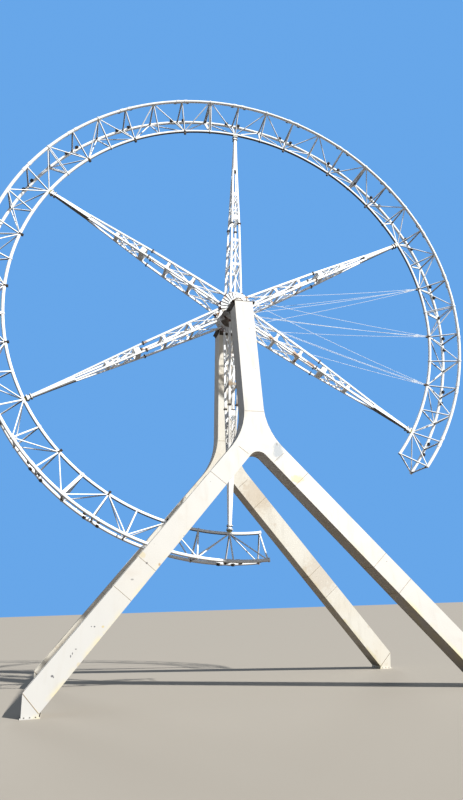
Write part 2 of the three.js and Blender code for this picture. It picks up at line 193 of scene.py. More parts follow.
def noiseNode(tree, place, scale, detail):
    return made(tree, "ShaderNodeTexNoise", {"Vector": place, "Scale": scale, "Detail": detail})


def patchGroup():
    # ragged patches: noise cut at a threshold, stretched along one axis if asked
    values = {"Stretch": (1, 1, 1), "Scale": 1.0, "Detail": 4.0, "Threshold": 0.5, "Softness": 0.1}
    tree, inputs = newGroup("raggedPatches", values)
    stretched = vectorNode(tree, "MULTIPLY", inputs["Vector"], inputs["Stretch"])
    noise = noiseNode(tree, stretched, inputs["Scale"], inputs["Detail"])
    high = mathNode(tree, "ADD", inputs["Threshold"], inputs["Softness"])
    return endGroup(tree, ramp(tree, noise, inputs["Threshold"], high), "Mask", "NodeSocketFloat")


def spotGroup():
    # one soft spot around a point, its edge broken up by noise
    values = {"Centre": (0, 0, 0), "Reach": (1, 1, 1), "Raggedness": 1.1, "Grain": 9.0, "Core": 0.55}
    tree, inputs = newGroup("spotAtPlace", values)
    offset = vectorNode(tree, "SUBTRACT", inputs["Vector"], inputs["Centre"])
    distance = vectorNode(tree, "LENGTH", vectorNode(tree, "DIVIDE", offset, inputs["Reach"]))
    noise = noiseNode(tree, inputs["Vector"], inputs["Grain"], noiseDetail["spot"])
    ragged = times(tree, mathNode(tree, "SUBTRACT", noise, 0.5), inputs["Raggedness"])
    edge = mathNode(tree, "ADD", distance, ragged)
    return endGroup(tree, ramp(tree, edge, 1.0, inputs["Core"]), "Mask", "NodeSocketFloat")


def skinGroup():
    # rolled plate under paint: slow waves and a fine orange peel
    tree, inputs = newGroup("paintSkin", {"Wave Scale": 1.2, "Peel Scale": 60.0, "Peel Share": 0.3})
    wave = noiseNode(tree, inputs["Vector"], inputs["Wave Scale"], noiseDetail["wave"])
    peel = noiseNode(tree, inputs["Vector"], inputs["Peel Scale"], noiseDetail["peel"])
    height = mathNode(tree, "ADD", wave, times(tree, peel, inputs["Peel Share"]))
    return endGroup(tree, height, "Height", "NodeSocketFloat")


patches = patchGroup()
spot = spotGroup()
skin = skinGroup()


def useGroup(tree, group, place, values):
    return made(tree, "ShaderNodeGroup", {"Vector": place, **values}, node_tree=group)


def newFinish(name):
    material = bpy.data.materials.new(name)
    material.use_nodes = True
    tree = material.node_tree
    return material, tree, put(tree, "ShaderNodeTexCoord").outputs["Object"]


def tinted(tree, place, color, paint, effect):
    # patches of one paint effect, and the colour with them on it
    mask = useGroup(tree, patches, place, effect["patches"])
    return mask, blendColor(tree, times(tree, mask, effect["share"]), color, paint[effect["tint"]])


def withSpots(tree, place, color, spots, paint):
    for centre, reach, tint, strength in spots:
        mask = useGroup(tree, spot, place, {"Centre": centre, "Reach": reach})
        color = blendColor(tree, times(tree, mask, strength), color, paint[tint])
    return color


def coat(material, place, color, wear, surface):
    # colour, roughness that grows with wear, and the relief of the skin
    tree = material.node_tree
    shader = tree.nodes["Principled BSDF"]
    tree.links.new(color, shader.inputs["Base Color"])
    rough = mathNode(tree, "ADD", times(tree, wear, surface["wornRoughness"]), surface["roughness"])
    tree.links.new(rough, shader.inputs["Roughness"])
    shader.inputs["Metallic"].default_value = surface.get("metal", 0.0)
    shader.inputs["Specular IOR Level"].default_value = surface.get("specular", 0.5)
    height = useGroup(tree, skin, place, surface["skin"])
    sockets = {"Height": height, "Strength": surface["bump"], "Distance": surface["relief"]}
    tree.links.new(made(tree, "ShaderNodeBump", sockets), shader.inputs["Normal"])
    return material


# Tower paint: warm white boxes, painted warm shade below, ochre where water runs from the joints; the two
# towers' whites are set for their light, as painted light

towerPaint = {
    # painted light: the sunlit front tower's white is darker, the back tower's, turned from the sun, brighter
    "white": {"front": (0.53, 0.527, 0.513), "back": (0.75, 0.735, 0.68)},
    "cream": (0.68, 0.59, 0.44),
    "streak": (0.40, 0.36, 0.30),
    # painted shade on downward faces, warm brown as if lit from brown ground
    "underside": (0.18, 0.135, 0.095),
    "rust": (0.35, 0.20, 0.08),
    "ochre": (0.52, 0.43, 0.22),
    "scuff": (0.10, 0.10, 0.11),
    "patch": (0.19, 0.235, 0.285),
    "edge": (0.63, 0.57, 0.36),
    # the back tower's larger share is partly real cream tone, partly painted warm light from the ground
    "creamAndWarmLightShare": {"front": 0.13, "back": 0.5},
    "tones": {"Scale": 0.55, "Detail": 3.0, "Threshold": 0.38, "Softness": 0.35},
    "streaks": {
        "patches": {"Stretch": (1, 1, 0.06), "Scale": 5.0, "Detail": 5.0, "Threshold": 0.52, "Softness": 0.3},
        "tint": "streak", "share": 0.3,
    },
    "blotches": {"Scale": 2.2, "Detail": 6.0, "Threshold": 0.6, "Softness": 0.14},
    "blotchShare": 0.7,  # of the cream and warm light share
    "scuffs": {
        "patches": {"Stretch": (1, 1, 1.6), "Scale": 7.5, "Detail": 3.0, "Threshold": 0.74, "Softness": 0.03},
        "tint": "scuff", "share": 0.7,
    },
    "edgeWear": {"Scale": 2.6, "Detail": 4.0, "Threshold": 0.38, "Softness": 0.3},
    "edgeWidth": 0.16,
    "edgeDrops": (7.0, 10.5),  # drops below the axle between which the yellow band comes in
    "undersideShare": 0.45,
    "paintedWarmShadeRange": (-0.25, -0.6),
}
towerSurface = {
    "roughness": 0.42,
    "wornRoughness": 0.25,
    "skin": {"Wave Scale": 1.6, "Peel Scale": 45.0, "Peel Share": 0.15},
    "bump": 0.35,
    "relief": 0.02,
}


def legEdge(tree, place):
    # yellowed band along the inner edge of a leg, which the rain reaches last
    drop = mathNode(tree, "SUBTRACT", hubCentre.z, axisOf(tree, place, "Z"))
    inner = mathNode(tree, "SUBTRACT", times(tree, drop, towerLayout["legSlope"]), towerLayout["legInner"])
    away = mathNode(tree, "SUBTRACT", mathNode(tree, "ABSOLUTE", axisOf(tree, place, "X")), inner)
    near = ramp(tree, away, towerPaint["edgeWidth"], 0.0)
    low = ramp(tree, drop, *towerPaint["edgeDrops"])
    worn = useGroup(tree, patches, place, towerPaint["edgeWear"])
    return times(tree, times(tree, near, low), worn)


def towerFinish(tower, spots):
    material, tree, place = newFinish(f"{tower}TowerPaint")
    cream = towerPaint["creamAndWarmLightShare"][tower]
    tone = useGroup(tree, patches, place, towerPaint["tones"])
    # white and cream share per tower carry painted light
    color = blendColor(tree, times(tree, tone, cream), towerPaint["white"][tower], towerPaint["cream"])
    streak, color = tinted(tree, place, color, towerPaint, towerPaint["streaks"])
    blotch = useGroup(tree, patches, place, towerPaint["blotches"])
    blotch = times(tree, blotch, cream * towerPaint["blotchShare"])
    color = blendColor(tree, blotch, color, towerPaint["rust"])
    _, color = tinted(tree, place, color, towerPaint, towerPaint["scuffs"])
    color = blendColor(tree, legEdge(tree, place), color, towerPaint["edge"])
    color = withSpots(tree, place, color, spots, towerPaint)
    # painted warm shade on faces that point down
    facing = put(tree, "ShaderNodeNewGeometry").outputs["Normal"]
    below = ramp(tree, axisOf(tree, facing, "Z"), *towerPaint["paintedWarmShadeRange"])
    below = times(tree, below, towerPaint["undersideShare"])
    color = blendColor(tree, below, color, towerPaint["underside"])
    return coat(material, place, color, streak, towerSurface)


# Wheel paint: cooler white with rust near the joints of spokes and rim, and near-black painted shade on faces
# turned down and to the left, away from the key light

wheelPaint = {
    "white": (0.90, 0.93, 0.96),
    "grey": (0.68, 0.70, 0.73),
    "rust": (0.36, 0.17, 0.05),
    # near-black painted shade
    "paintedShade": (0.018, 0.017, 0.016),
    # brown painted shade
    "paintedShadeBrown": (0.30, 0.25, 0.19),
    "tones": {
        "patches": {"Scale": 1.4, "Detail": 4.0, "Threshold": 0.45, "Softness": 0.3},
        "tint": "grey", "share": 0.35,
    },
    "specks": {
        "patches": {"Scale": 9.0, "Detail": 4.0, "Threshold": 0.66, "Softness": 0.06},
        "tint": "rust", "share": 0.35,
    },
    "rustPatches": {"Scale": 4.0, "Detail": 5.0, "Threshold": 0.56, "Softness": 0.1},
    "rustRadii": (0.5, 1.8, 2.83, 3.5),  # distances from the axle where rust gathers
    "rustReach": (0.13, 0.05),
    "paintedShadeSide": (-0.35, 0.1, -0.93),  # painted shade side: undersides, more on the left than on the right, roughly away from the key light
    "paintedShadeRange": (0.25, 0.55),
    "paintedShadeInside": (5.9, 6.1, 0.5, 0.95),  # radii, and the share of painted shade on the lattice and closed ends
    "paintedShadeOutside": (8.2, 8.6, 1.0, 0.4),  # the same past the inner chord of the rim
    "paintedShadeTies": 0.85,
    "tieEnds": (0.02, 0.07),  # from the middle of an outer chord inwards
    "tieBelow": (0.1, 0.05),
}
wheelSurface = {
    "roughness": 0.42,
    "wornRoughness": 0.35,
    "specular": 0.3,
    "skin": {"Wave Scale": 3.0, "Peel Scale": 80.0, "Peel Share": 0.3},
    "bump": 0.25,
    "relief": 0.006,
}


def rustyMask(tree, radius):
    mask = None
    for joint in wheelPaint["rustRadii"]:
        away = mathNode(tree, "ABSOLUTE", mathNode(tree, "SUBTRACT", radius, joint))
        band = ramp(tree, away, *wheelPaint["rustReach"])
        mask = band if mask is None else mathNode(tree, "MAXIMUM", mask, band)
    return mask


def tiePaintedShadeMask(tree, place, radius):
    # ties between the outer chords, given more painted shade below than the chords
    depth = mathNode(tree, "ABSOLUTE", axisOf(tree, place, "Y"))
    within = ramp(tree, depth, *[wheelLayout["halfWidth"] - reach for reach in wheelPaint["tieEnds"]])
    beyond = ramp(tree, radius, *[wheelLayout["outerRadius"] - reach for reach in wheelPaint["tieBelow"]])
    return times(tree, times(tree, within, beyond), wheelPaint["paintedShadeTies"])


# painted shade on faces turned down and to the left, away from the key light
def paintedShadeMask(tree, place, radius):
    facing = put(tree, "ShaderNodeNewGeometry").outputs["Normal"]
    under = vectorNode(tree, "DOT_PRODUCT", facing, wheelPaint["paintedShadeSide"])
    inside = ramp(tree, radius, *wheelPaint["paintedShadeInside"])
    outside = ramp(tree, radius, *wheelPaint["paintedShadeOutside"])
    outside = mathNode(tree, "MAXIMUM", outside, tiePaintedShadeMask(tree, place, radius))
    below = ramp(tree, under, *wheelPaint["paintedShadeRange"])
    return times(tree, times(tree, below, inside), outside)


def wheelFinish(name, stains):
    material, tree, place = newFinish(name)
    fromHub = vectorNode(tree, "SUBTRACT", place, hubCentre)
    radius = vectorNode(tree, "LENGTH", vectorNode(tree, "MULTIPLY", fromHub, (1, 0, 1)))
    _, color = tinted(tree, place, wheelPaint["white"], wheelPaint, wheelPaint["tones"])
    rusty = times(tree, rustyMask(tree, radius), useGroup(tree, patches, place, wheelPaint["rustPatches"]))
    color = blendColor(tree, rusty, color, wheelPaint["rust"])
    specks, color = tinted(tree, place, color, wheelPaint, wheelPaint["specks"])
    color = withSpots(tree, place, color, stains, wheelPaint)
    # painted shade
    color = blendColor(tree, paintedShadeMask(tree, place, radius), color, wheelPaint["paintedShade"])
    return coat(material, place, color, specks, wheelSurface)


# Dark joints, seams, machined and galvanised steel

steelSurface = {
    "wornRoughness": 0.25,
    "skin": {"Wave Scale": 12.0, "Peel Scale": 120.0, "Peel Share": 0.5},
    "bump": 0.3,
    "relief": 0.003,
}
steelWear = {"Detail": 5.0, "Threshold": 0.45, "Softness": 0.2}
steels = {  # share and grain are those of the worn patches
    "dark": {
        "name": "darkJointSteel", "base": (0.035, 0.031, 0.028), "worn": (0.10, 0.06, 0.036),
        "share": 0.5, "metal": 0.3, "roughness": 0.5, "grain": 6.0,
    },
    "housing": {
        "name": "dustyHousing", "base": (0.13, 0.112, 0.095), "worn": (0.06, 0.04, 0.028),
        "share": 0.7, "metal": 0.1, "roughness": 0.6, "grain": 7.0,
    },
    "lug": {
        "name": "oxideLugs", "base": (0.05, 0.022, 0.016), "worn": (0.17, 0.05, 0.03),
        "share": 0.7, "metal": 0.1, "roughness": 0.6, "grain": 5.0,
    },
    "seam": {
        "name": "weldSeam", "base": (0.24, 0.19, 0.14), "worn": (0.42, 0.34, 0.20),
        "share": 0.8, "metal": 0.1, "roughness": 0.6, "grain": 4.0,
    },
    "bare": {
        "name": "machinedSteel", "base": (0.42, 0.41, 0.39), "worn": (0.20, 0.14, 0.09),
        "share": 0.4, "metal": 0.9, "roughness": 0.3, "grain": 8.0,
    },
    "rope": {
        "name": "galvanisedRope", "base": (0.86, 0.90, 0.94), "worn": (0.62, 0.64, 0.66),
        "share": 0.4, "metal": 0.1, "roughness": 0.45, "grain": 14.0,
    },
    "seat": {
        "name": "yellowedSeat", "base": (0.42, 0.38, 0.17), "worn": (0.10, 0.09, 0.05),
        "share": 0.8, "metal": 0.1, "roughness": 0.5, "grain": 14.0,
    },
}


def steelFinish(name, base, worn, share, metal, roughness, grain):
    material, tree, place = newFinish(name)
    wear = useGroup(tree, patches, place, {"Scale": grain, **steelWear})
    color = blendColor(tree, times(tree, wear, share), base, worn)
    return coat(material, place, color, wear, {**steelSurface, "metal": metal, "roughness": roughness})


# Stains and painted shade: centre, reach along each axis, tint, strength

frontSpots = (
    ((0.624, -2.44, 6.734), (0.20, 1.5, 0.33), "patch", 0.75),
    ((0.617, -2.40, 6.960), (0.03, 1.5, 0.07), "scuff", 0.8),
    ((1.15, -2.58, 5.86), (0.26, 1.5, 0.15), "ochre", 0.8),
    ((0.379, -2.22, 8.05), (0.07, 1.5, 0.07), "rust", 0.6),
    ((0.108, -1.72, 11.04), (0.05, 1.5, 0.06), "scuff", 0.25),
    ((-4.739, -3.24, 1.950), (0.018, 1.5, 0.018), "scuff", 1.0),
    ((-4.663, -3.24, 1.944), (0.026, 1.5, 0.024), "scuff", 1.0),
    ((-4.456, -3.25, 1.934), (0.045, 1.5, 0.035), "ochre", 0.9),
    ((-5.092, -3.32, 1.446), (0.03, 1.5, 0.016), "scuff", 0.9),
    ((-5.17, -3.34, 1.350), (0.018, 1.5, 0.035), "scuff", 0.9),
    ((-5.21, -3.35, 1.290), (0.016, 1.5, 0.035), "scuff", 0.9),
    ((-5.617, -3.42, 0.877), (0.04, 1.5, 0.035), "scuff", 1.0),
    ((-5.585, -3.42, 0.850), (0.02, 1.5, 0.03), "scuff", 1.0),
    ((-5.017, -3.38, 1.098), (0.06, 1.5, 0.07), "ochre", 0.4),
    ((-3.355, -2.98, 3.476), (0.04, 1.5, 0.04), "scuff", 0.9),
    ((-3.466, -2.95, 3.697), (0.10, 1.5, 0.10), "ochre", 0.5),
    ((-3.02, -2.97, 3.43), (0.04, 1.5, 0.05), "rust", 0.7),
    ((-3.74, -3.05, 3.06), (0.05, 1.5, 0.03), "scuff", 0.6),
)
backSpots = (
    ((1.2, 2.2, 6.2), (0.9, 1.5, 0.8), "rust", 0.25),
    ((3.6, 2.6, 3.4), (0.8, 1.5, 0.9), "rust", 0.22),
)
wheelStains = (
    ((0.43, -0.55, 12.78), (0.12, 0.2, 0.12), "rust", 0.9),
    ((1.271, -0.40, 11.308), (0.14, 0.3, 0.14), "rust", 0.8),
    ((2.133, -0.40, 10.755), (0.20, 0.3, 0.20), "rust", 0.8),
    ((2.714, -0.30, 10.449), (0.20, 0.3, 0.20), "rust", 0.8),
    # brown painted shade on the lower spoke below the hub, where the towers shade it, and under the front of
    # the hub
    ((-0.128, -0.2, 9.57), (0.30, 0.7, 0.22), "paintedShadeBrown", 0.9),
    ((-0.159, -0.2, 8.90), (0.30, 0.7, 0.22), "paintedShadeBrown", 0.8),
    ((-0.20, -0.2, 7.90), (0.35, 0.7, 0.8), "paintedShadeBrown", 0.5),
    ((-0.50, -0.55, 12.1), (0.22, 0.4, 0.25), "paintedShadeBrown", 0.7),
)

finishes = {
    "frontTower": towerFinish("front", frontSpots),
    "backTower": towerFinish("back", backSpots),
    "wheel": wheelFinish("wheelPaint", wheelStains),
    **{key: steelFinish(**values) for key, values in steels.items()},
}
print("finishes made:", len(finishes))


# Geometry Nodes trees

boltForm = {  # heights are shares of the head's height, radii of its width across flats
    "washerSides": 12,
    "washerHeight": 0.22,
    "washerRadius": 0.82,
    "headSides": 6,
    "headRadius": 0.577,
    "headLift": 0.6,
}
flangeForm = {"sides": 20, "boltSides": 6, "boltLength": 4.0}  # length in thicknesses of one flange
lugForm = {"pinSides": 12, "pinLength": 3.4, "pinHeight": 0.75}  # in thicknesses and heights of a cheek


def newTree(name, values):
    tree = bpy.data.node_groups.new(name, "GeometryNodeTree")
    tree.is_modifier = True
    tree.interface.new_socket("Geometry", in_out="INPUT", socket_type="NodeSocketGeometry")
    addInputs(tree, values)
    tree.interface.new_socket("Finish", in_out="INPUT", socket_type="NodeSocketMaterial")
    return tree, put(tree, "NodeGroupInput").outputs


def endTree(tree, inputs, geometry, smooth=False):
    shaded = made(tree, "GeometryNodeSetShadeSmooth", {"Geometry": geometry, "Shade Smooth": smooth})
    real = made(tree, "GeometryNodeRealizeInstances", {"Geometry": shaded})
    sockets = {"Geometry": real, "Material": inputs["Finish"]}
    return endGroup(tree, made(tree, "GeometryNodeSetMaterial", sockets), "Geometry", "NodeSocketGeometry")


def named(tree, name, kind):
    return put(tree, "GeometryNodeInputNamedAttribute", {"Name": name}, data_type=kind).outputs["Attribute"]


def vector(tree, x=0.0, y=0.0, z=0.0):
    return made(tree, "ShaderNodeCombineXYZ", {"X": x, "Y": y, "Z": z})


def rotation(tree, angles):
    return made(tree, "FunctionNodeEulerToRotation", {0: angles})


def joined(tree, *geometries):
    node = put(tree, "GeometryNodeJoinGeometry")
    for geometry in geometries:
        tree.links.new(geometry, node.inputs[0])
    return node.outputs[0]


def moved(tree, geometry, place, turn=(0, 0, 0)):
    sockets = {"Geometry": geometry, "Translation": place, "Rotation": turn}
    return made(tree, "GeometryNodeTransform", sockets)


def block(tree, size):
    return made(tree, "GeometryNodeMeshCube", {"Size": size})


def cylinder(tree, sides, radius, depth):
    return made(tree, "GeometryNodeMeshCylinder", {"Vertices": sides, "Radius": radius, "Depth": depth})


def copies(tree, points, geometry, **sockets):
    return made(tree, "GeometryNodeInstanceOnPoints", {"Points": points, "Instance": geometry, **sockets})


def onPoints(tree, inputs, geometry, scale=one):
    turn = rotation(tree, named(tree, "turn", "FLOAT_VECTOR"))
    return copies(tree, inputs["Geometry"], geometry, Rotation=turn, Scale=scale)


def ringPoints(tree, count, radius):
    return made(tree, "GeometryNodeMeshCircle", {"Vertices": count, "Radius": radius})


def ringTurn(tree, count):
    # turns the copy at each ring point to face outwards
    index = made(tree, "GeometryNodeInputIndex")
    step = mathNode(tree, "DIVIDE", 2 * math.pi, count)
    return rotation(tree, vector(tree, z=times(tree, index, step)))


def boltShape(tree, inputs):
    # hexagon head on a washer, standing on its seat
    width, height = inputs["Head Width"], inputs["Head Height"]
    washerRadius = times(tree, width, boltForm["washerRadius"])
    washerHeight = times(tree, height, boltForm["washerHeight"])
    washer = cylinder(tree, boltForm["washerSides"], washerRadius, washerHeight)
    head = cylinder(tree, boltForm["headSides"], times(tree, width, boltForm["headRadius"]), height)
    lift = times(tree, height, boltForm["headLift"])
    return joined(tree, washer, moved(tree, head, vector(tree, z=lift)))


def tubeTree():
    # round tubes along the lines of a mesh; each point carries its tubeRadius
    tree, inputs = newTree("tubesOnLines", {"Sides": 12})
    ring = {"Resolution": inputs["Sides"], "Radius": 1.0}
    tube = made(tree, "GeometryNodeCurveToMesh", {
        "Curve": made(tree, "GeometryNodeMeshToCurve", {"Mesh": inputs["Geometry"]}),
        "Profile Curve": made(tree, "GeometryNodeCurvePrimitiveCircle", ring),
        "Scale": named(tree, "tubeRadius", "FLOAT"),
        "Fill Caps": True,
    })
    return endTree(tree, inputs, tube, smooth=True)


def blockTree():
    # plates and blocks on points that carry their turn and size
    tree, inputs = newTree("blocksOnPoints", {})
    size = named(tree, "size", "FLOAT_VECTOR")
    return endTree(tree, inputs, onPoints(tree, inputs, block(tree, one), size))


def boltTree():
    tree, inputs = newTree("boltsOnPoints", {"Head Width": 0.03, "Head Height": 0.02})
    return endTree(tree, inputs, onPoints(tree, inputs, boltShape(tree, inputs)))


def ringBoltTree():
    # a circle of bolt heads, axis along Z
    values = {"Bolt Count": 12, "Bolt Circle": 0.3, "Head Width": 0.03, "Head Height": 0.02}
    tree, inputs = newTree("boltRing", values)
    places = ringPoints(tree, inputs["Bolt Count"], inputs["Bolt Circle"])
    return endTree(tree, inputs, onPoints(tree, inputs, copies(tree, places, boltShape(tree, inputs))))


def flangeTree():
    # two bolted flanges face to face around a tube, axis along Z
    tree, inputs = newTree("flangePairs", {
        "Flange Radius": 0.072, "Flange Thickness": 0.016, "Gap": 0.004,
        "Bolt Count": 10, "Bolt Circle": 0.0635, "Bolt Width": 0.012,
    })
    thickness = inputs["Flange Thickness"]
    disc = cylinder(tree, flangeForm["sides"], inputs["Flange Radius"], thickness)
    offset = times(tree, mathNode(tree, "ADD", thickness, inputs["Gap"]), 0.5)
    below = moved(tree, disc, vector(tree, z=times(tree, offset, -1.0)))
    above = moved(tree, disc, vector(tree, z=offset))
    length = times(tree, thickness, flangeForm["boltLength"])
    bolt = cylinder(tree, flangeForm["boltSides"], times(tree, inputs["Bolt Width"], 0.5), length)
    bolts = copies(tree, ringPoints(tree, inputs["Bolt Count"], inputs["Bolt Circle"]), bolt)
    return endTree(tree, inputs, onPoints(tree, inputs, joined(tree, below, above, bolts)))


def ribTree():
    # flat ribs standing round a flange, axis along Z
    tree, inputs = newTree("ribFan", {
        "Rib Count": 24, "Inner Radius": 0.3, "Outer Radius": 0.55,
        "Rib Height": 0.05, "Rib Thickness": 0.014,
    })
    inner, outer, height = inputs["Inner Radius"], inputs["Outer Radius"], inputs["Rib Height"]
    middle = times(tree, mathNode(tree, "ADD", inner, outer), 0.5)
    size = vector(tree, mathNode(tree, "SUBTRACT", outer, inner), inputs["Rib Thickness"], height)
    rib = moved(tree, block(tree, size), vector(tree, z=times(tree, height, 0.5)))
    count = inputs["Rib Count"]
    fan = copies(tree, ringPoints(tree, count, middle), rib, Rotation=ringTurn(tree, count))
    return endTree(tree, inputs, onPoints(tree, inputs, fan))


def lugTree():
    # two cheek plates with a pin through them; Z stands off the seat, Y runs through the pin
    tree, inputs = newTree("pinnedLugs", {
        "Cheek Height": 0.09, "Cheek Length": 0.07, "Cheek Thickness": 0.014,
        "Clear Width": 0.03, "Pin Radius": 0.014,
    })
    height, thickness, clear = inputs["Cheek Height"], inputs["Cheek Thickness"], inputs["Clear Width"]
    cheek = block(tree, vector(tree, inputs["Cheek Length"], thickness, height))
    middle = times(tree, height, 0.5)
    spread = times(tree, mathNode(tree, "ADD", clear, thickness), 0.5)
    near = moved(tree, cheek, vector(tree, y=times(tree, spread, -1.0), z=middle))
    far = moved(tree, cheek, vector(tree, y=spread, z=middle))
    pinLength = mathNode(tree, "ADD", clear, times(tree, thickness, lugForm["pinLength"]))
    pin = cylinder(tree, lugForm["pinSides"], inputs["Pin Radius"], pinLength)
    pinPlace = vector(tree, z=times(tree, height, lugForm["pinHeight"]))
    laid = moved(tree, pin, pinPlace, (math.pi / 2, 0, 0))
    return endTree(tree, inputs, onPoints(tree, inputs, joined(tree, near, far, laid)))


def haunchOutline(tree, leg, steps):
    # a hollow quarter circle and the two straight sides behind it
    sockets = {"Resolution": steps, "Radius": leg, "Start Angle": math.pi, "Sweep Angle": math.pi / 2}
    arc = made(tree, "GeometryNodeCurveArc", sockets, mode="RADIUS")
    curves = [moved(tree, arc, vector(tree, leg, leg))]
    corner = (0, 0, 0)
    for start, end in ((vector(tree, x=leg), corner), (corner, vector(tree, y=leg))):
        curves.append(made(tree, "GeometryNodeCurvePrimitiveLine", {"Start": start, "End": end}))
    mesh = made(tree, "GeometryNodeCurveToMesh", {"Curve": joined(tree, *curves)})
    merged = made(tree, "GeometryNodeMergeByDistance", {"Geometry": mesh})
    return made(tree, "GeometryNodeMeshToCurve", {"Mesh": merged})


def haunchTree():
    # flat corner gussets with a hollow curve, on points that carry their turn and size
    tree, inputs = newTree("curvedHaunches", {"Leg": 0.09, "Thickness": 0.016, "Curve Steps": 6})
    outline = haunchOutline(tree, inputs["Leg"], inputs["Curve Steps"])
    face = made(tree, "GeometryNodeFillCurve", {"Curve": outline}, mode="NGONS")
    thick = made(tree, "GeometryNodeExtrudeMesh", {"Mesh": face, "Offset Scale": inputs["Thickness"]})
    under = made(tree, "GeometryNodeFlipFaces", {"Mesh": face})
    whole = made(tree, "GeometryNodeMergeByDistance", {"Geometry": joined(tree, thick, under)})
    centred = moved(tree, whole, vector(tree, z=times(tree, inputs["Thickness"], -0.5)))
    return endTree(tree, inputs, onPoints(tree, inputs, centred))


trees = {
    "tubes": tubeTree(),
    "blocks": blockTree(),
    "bolts": boltTree(),
    "flanges": flangeTree(),
    "ribs": ribTree(),
    "boltRing": ringBoltTree(),
    "lugs": lugTree(),
    "haunches": haunchTree(),
}
print("trees made:", len(trees))


# Making a piece

sharpAngle = 35  # degrees


def lineMesh(name, lines):
    # lines are (points, radius); each becomes one tube
    vertices, edges, radii = [], [], []
    for points, radius in lines:
        first = len(vertices)
        vertices.extend(points)
        edges.extend((first + i, first + i + 1) for i in range(len(points) - 1))
        radii.extend([radius] * len(points))
    mesh = bpy.data.meshes.new(name)
    mesh.from_pydata(vertices, edges, [])
    attribute = mesh.attributes.new("tubeRadius", "FLOAT", "POINT")
    attribute.data.foreach_set("value", radii)
    return mesh


def pointMesh(name, spots):
    # spots are (place, turn as a 3x3 matrix, size)
    mesh = bpy.data.meshes.new(name)
    mesh.from_pydata([place for place, turn, size in spots], [], [])
    turns = mesh.attributes.new("turn", "FLOAT_VECTOR", "POINT")
    sizes = mesh.attributes.new("size", "FLOAT_VECTOR", "POINT")
    for i, (place, turn, size) in enumerate(spots):
        turns.data[i].vector = turn.to_euler()
        sizes.data[i].vector = size
    return mesh


def newObject(name, data):
    thing = bpy.data.objects.new(name, data)
    bpy.context.scene.collection.objects.link(thing)
    return thing


def declare(piece, body, replaced):
    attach(piece, body)
    if replaced:
        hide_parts(*replaced)


def grow(name, tree, source, finish, body, replaced=(), bevel=0.0, values=None):
    # source holds lines for tubes and spots for every other tree
    makeMesh = lineMesh if tree == "tubes" else pointMesh
    piece = newObject(name, makeMesh(f"{name}Source", source))
    modifier = piece.modifiers.new(tree, "NODES")
    modifier.node_group = trees[tree]
    wanted = {"Finish": finishes[finish], **(values or {})}
    for item in trees[tree].interface.items_tree:
        if item.in_out == "INPUT" and item.name in wanted:
            modifier[item.identifier] = wanted[item.name]
    if bevel:
        edge = piece.modifiers.new("softEdges", "BEVEL")
        edge.width = bevel
        edge.segments = 1
        edge.limit_method = "ANGLE"
    graph = bpy.context.evaluated_depsgraph_get()
    result = bpy.data.meshes.new_from_object(piece.evaluated_get(graph))
    result.name = name
    piece.modifiers.clear()
    piece.data = result
    result.set_sharp_from_angle(angle=math.radians(sharpAngle))
    declare(piece, body, replaced)


def shape(name, vertices, faces, finish, body, replaced=()):
    mesh = bpy.data.meshes.new(name)
    mesh.from_pydata(vertices, [], faces)
    bm = bmesh.new()
    bm.from_mesh(mesh)
    bmesh.ops.recalc_face_normals(bm, faces=bm.faces)
    bm.to_mesh(mesh)
    bm.free()
    mesh.materials.append(finishes[finish])
    declare(newObject(name, mesh), body, replaced)


# Rim segments: round chords, frames and side bracing

rimSteel = {
    "chord": 0.055,  # tube radii
    "frontStrut": 0.026,
    "backStrut": 0.027,
    "tie": 0.029,
    "heavy": 0.027,
    "brace": 0.02,
    "sides": 12,
    "chordSteps": 36,
    "endInset": 0.029,
    "lightSeams": (82.5, 307.5),  # joints whose frames are no heavier than the rest
    "lightInset": 0.026,
    "lightStrut": 0.019,
    "lightTie": 0.015,
    "seam": 0.0004,
    "heavyBays": (0, 2, 6),
}


def isLightSeam(number, bay):
    return bayAngle(number, bay) % 360 in rimSteel["lightSeams"]


def frameInset(number, bay):
    # end frames stand just inside the joint of two segments
    inset = rimSteel["lightInset" if isLightSeam(number, bay) else "endInset"]
    return {0: inset, wheelLayout["baysPerSegment"]: -inset}.get(bay, 0.0)


def frameRadii(number, bay):
    if isLightSeam(number, bay):
        return rimSteel["lightStrut"], rimSteel["backStrut"], rimSteel["lightTie"]
    if bay in rimSteel["heavyBays"]:
        return (rimSteel["heavy"],) * 3
    return rimSteel["frontStrut"], rimSteel["backStrut"], rimSteel["tie"]


def rimChordLines(number):
    lines = []
    steps = rimSteel["chordSteps"]
    span = wheelLayout["baysPerSegment"] * wheelLayout["bay"]
    for radius, depth in rimChords:
        gap = math.degrees(rimSteel["seam"] / radius)
        angles = [bayAngle(number) + gap + (span - 2 * gap) * i / steps for i in range(steps + 1)]
        lines.append(([wheelPoint(angle, radius, 0, depth) for angle in angles], rimSteel["chord"]))
    return lines


def rimFrameLines(number):
    lines = []
    for bay in range(wheelLayout["baysPerSegment"] + 1):
        angle, inset = bayAngle(number, bay), frameInset(number, bay)
        front, back, low = [wheelPoint(angle, radius, inset, depth) for radius, depth in rimChords]
        lines += zip(((front, low), (back, low), (front, back)), frameRadii(number, bay))
    return lines


def rimBraceLines(number):
    lines = []
    outer, half = wheelLayout["outerRadius"], wheelLayout["halfWidth"]
    for bay in range(1, wheelLayout["baysPerSegment"], 2):
        low = wheelPoint(bayAngle(number, bay), wheelLayout["innerRadius"])
        for step, side in corners:
            angle, inset = bayAngle(number, bay + step), frameInset(number, bay + step)
            lines.append(((low, wheelPoint(angle, outer, inset, side * half)), rimSteel["brace"]))
    return lines


for number in wheelLayout["segments"]:
    rimLines = rimChordLines(number) + rimFrameLines(number) + rimBraceLines(number)
    grow(
        f"rimSegment{number}Tubes", "tubes", rimLines, "wheel", "wheel",
        replaced=(f"rim_segment_{number}",), values={"Sides": rimSteel["sides"]},
    )
print("rim segments made:", len(wheelLayout["segments"]))
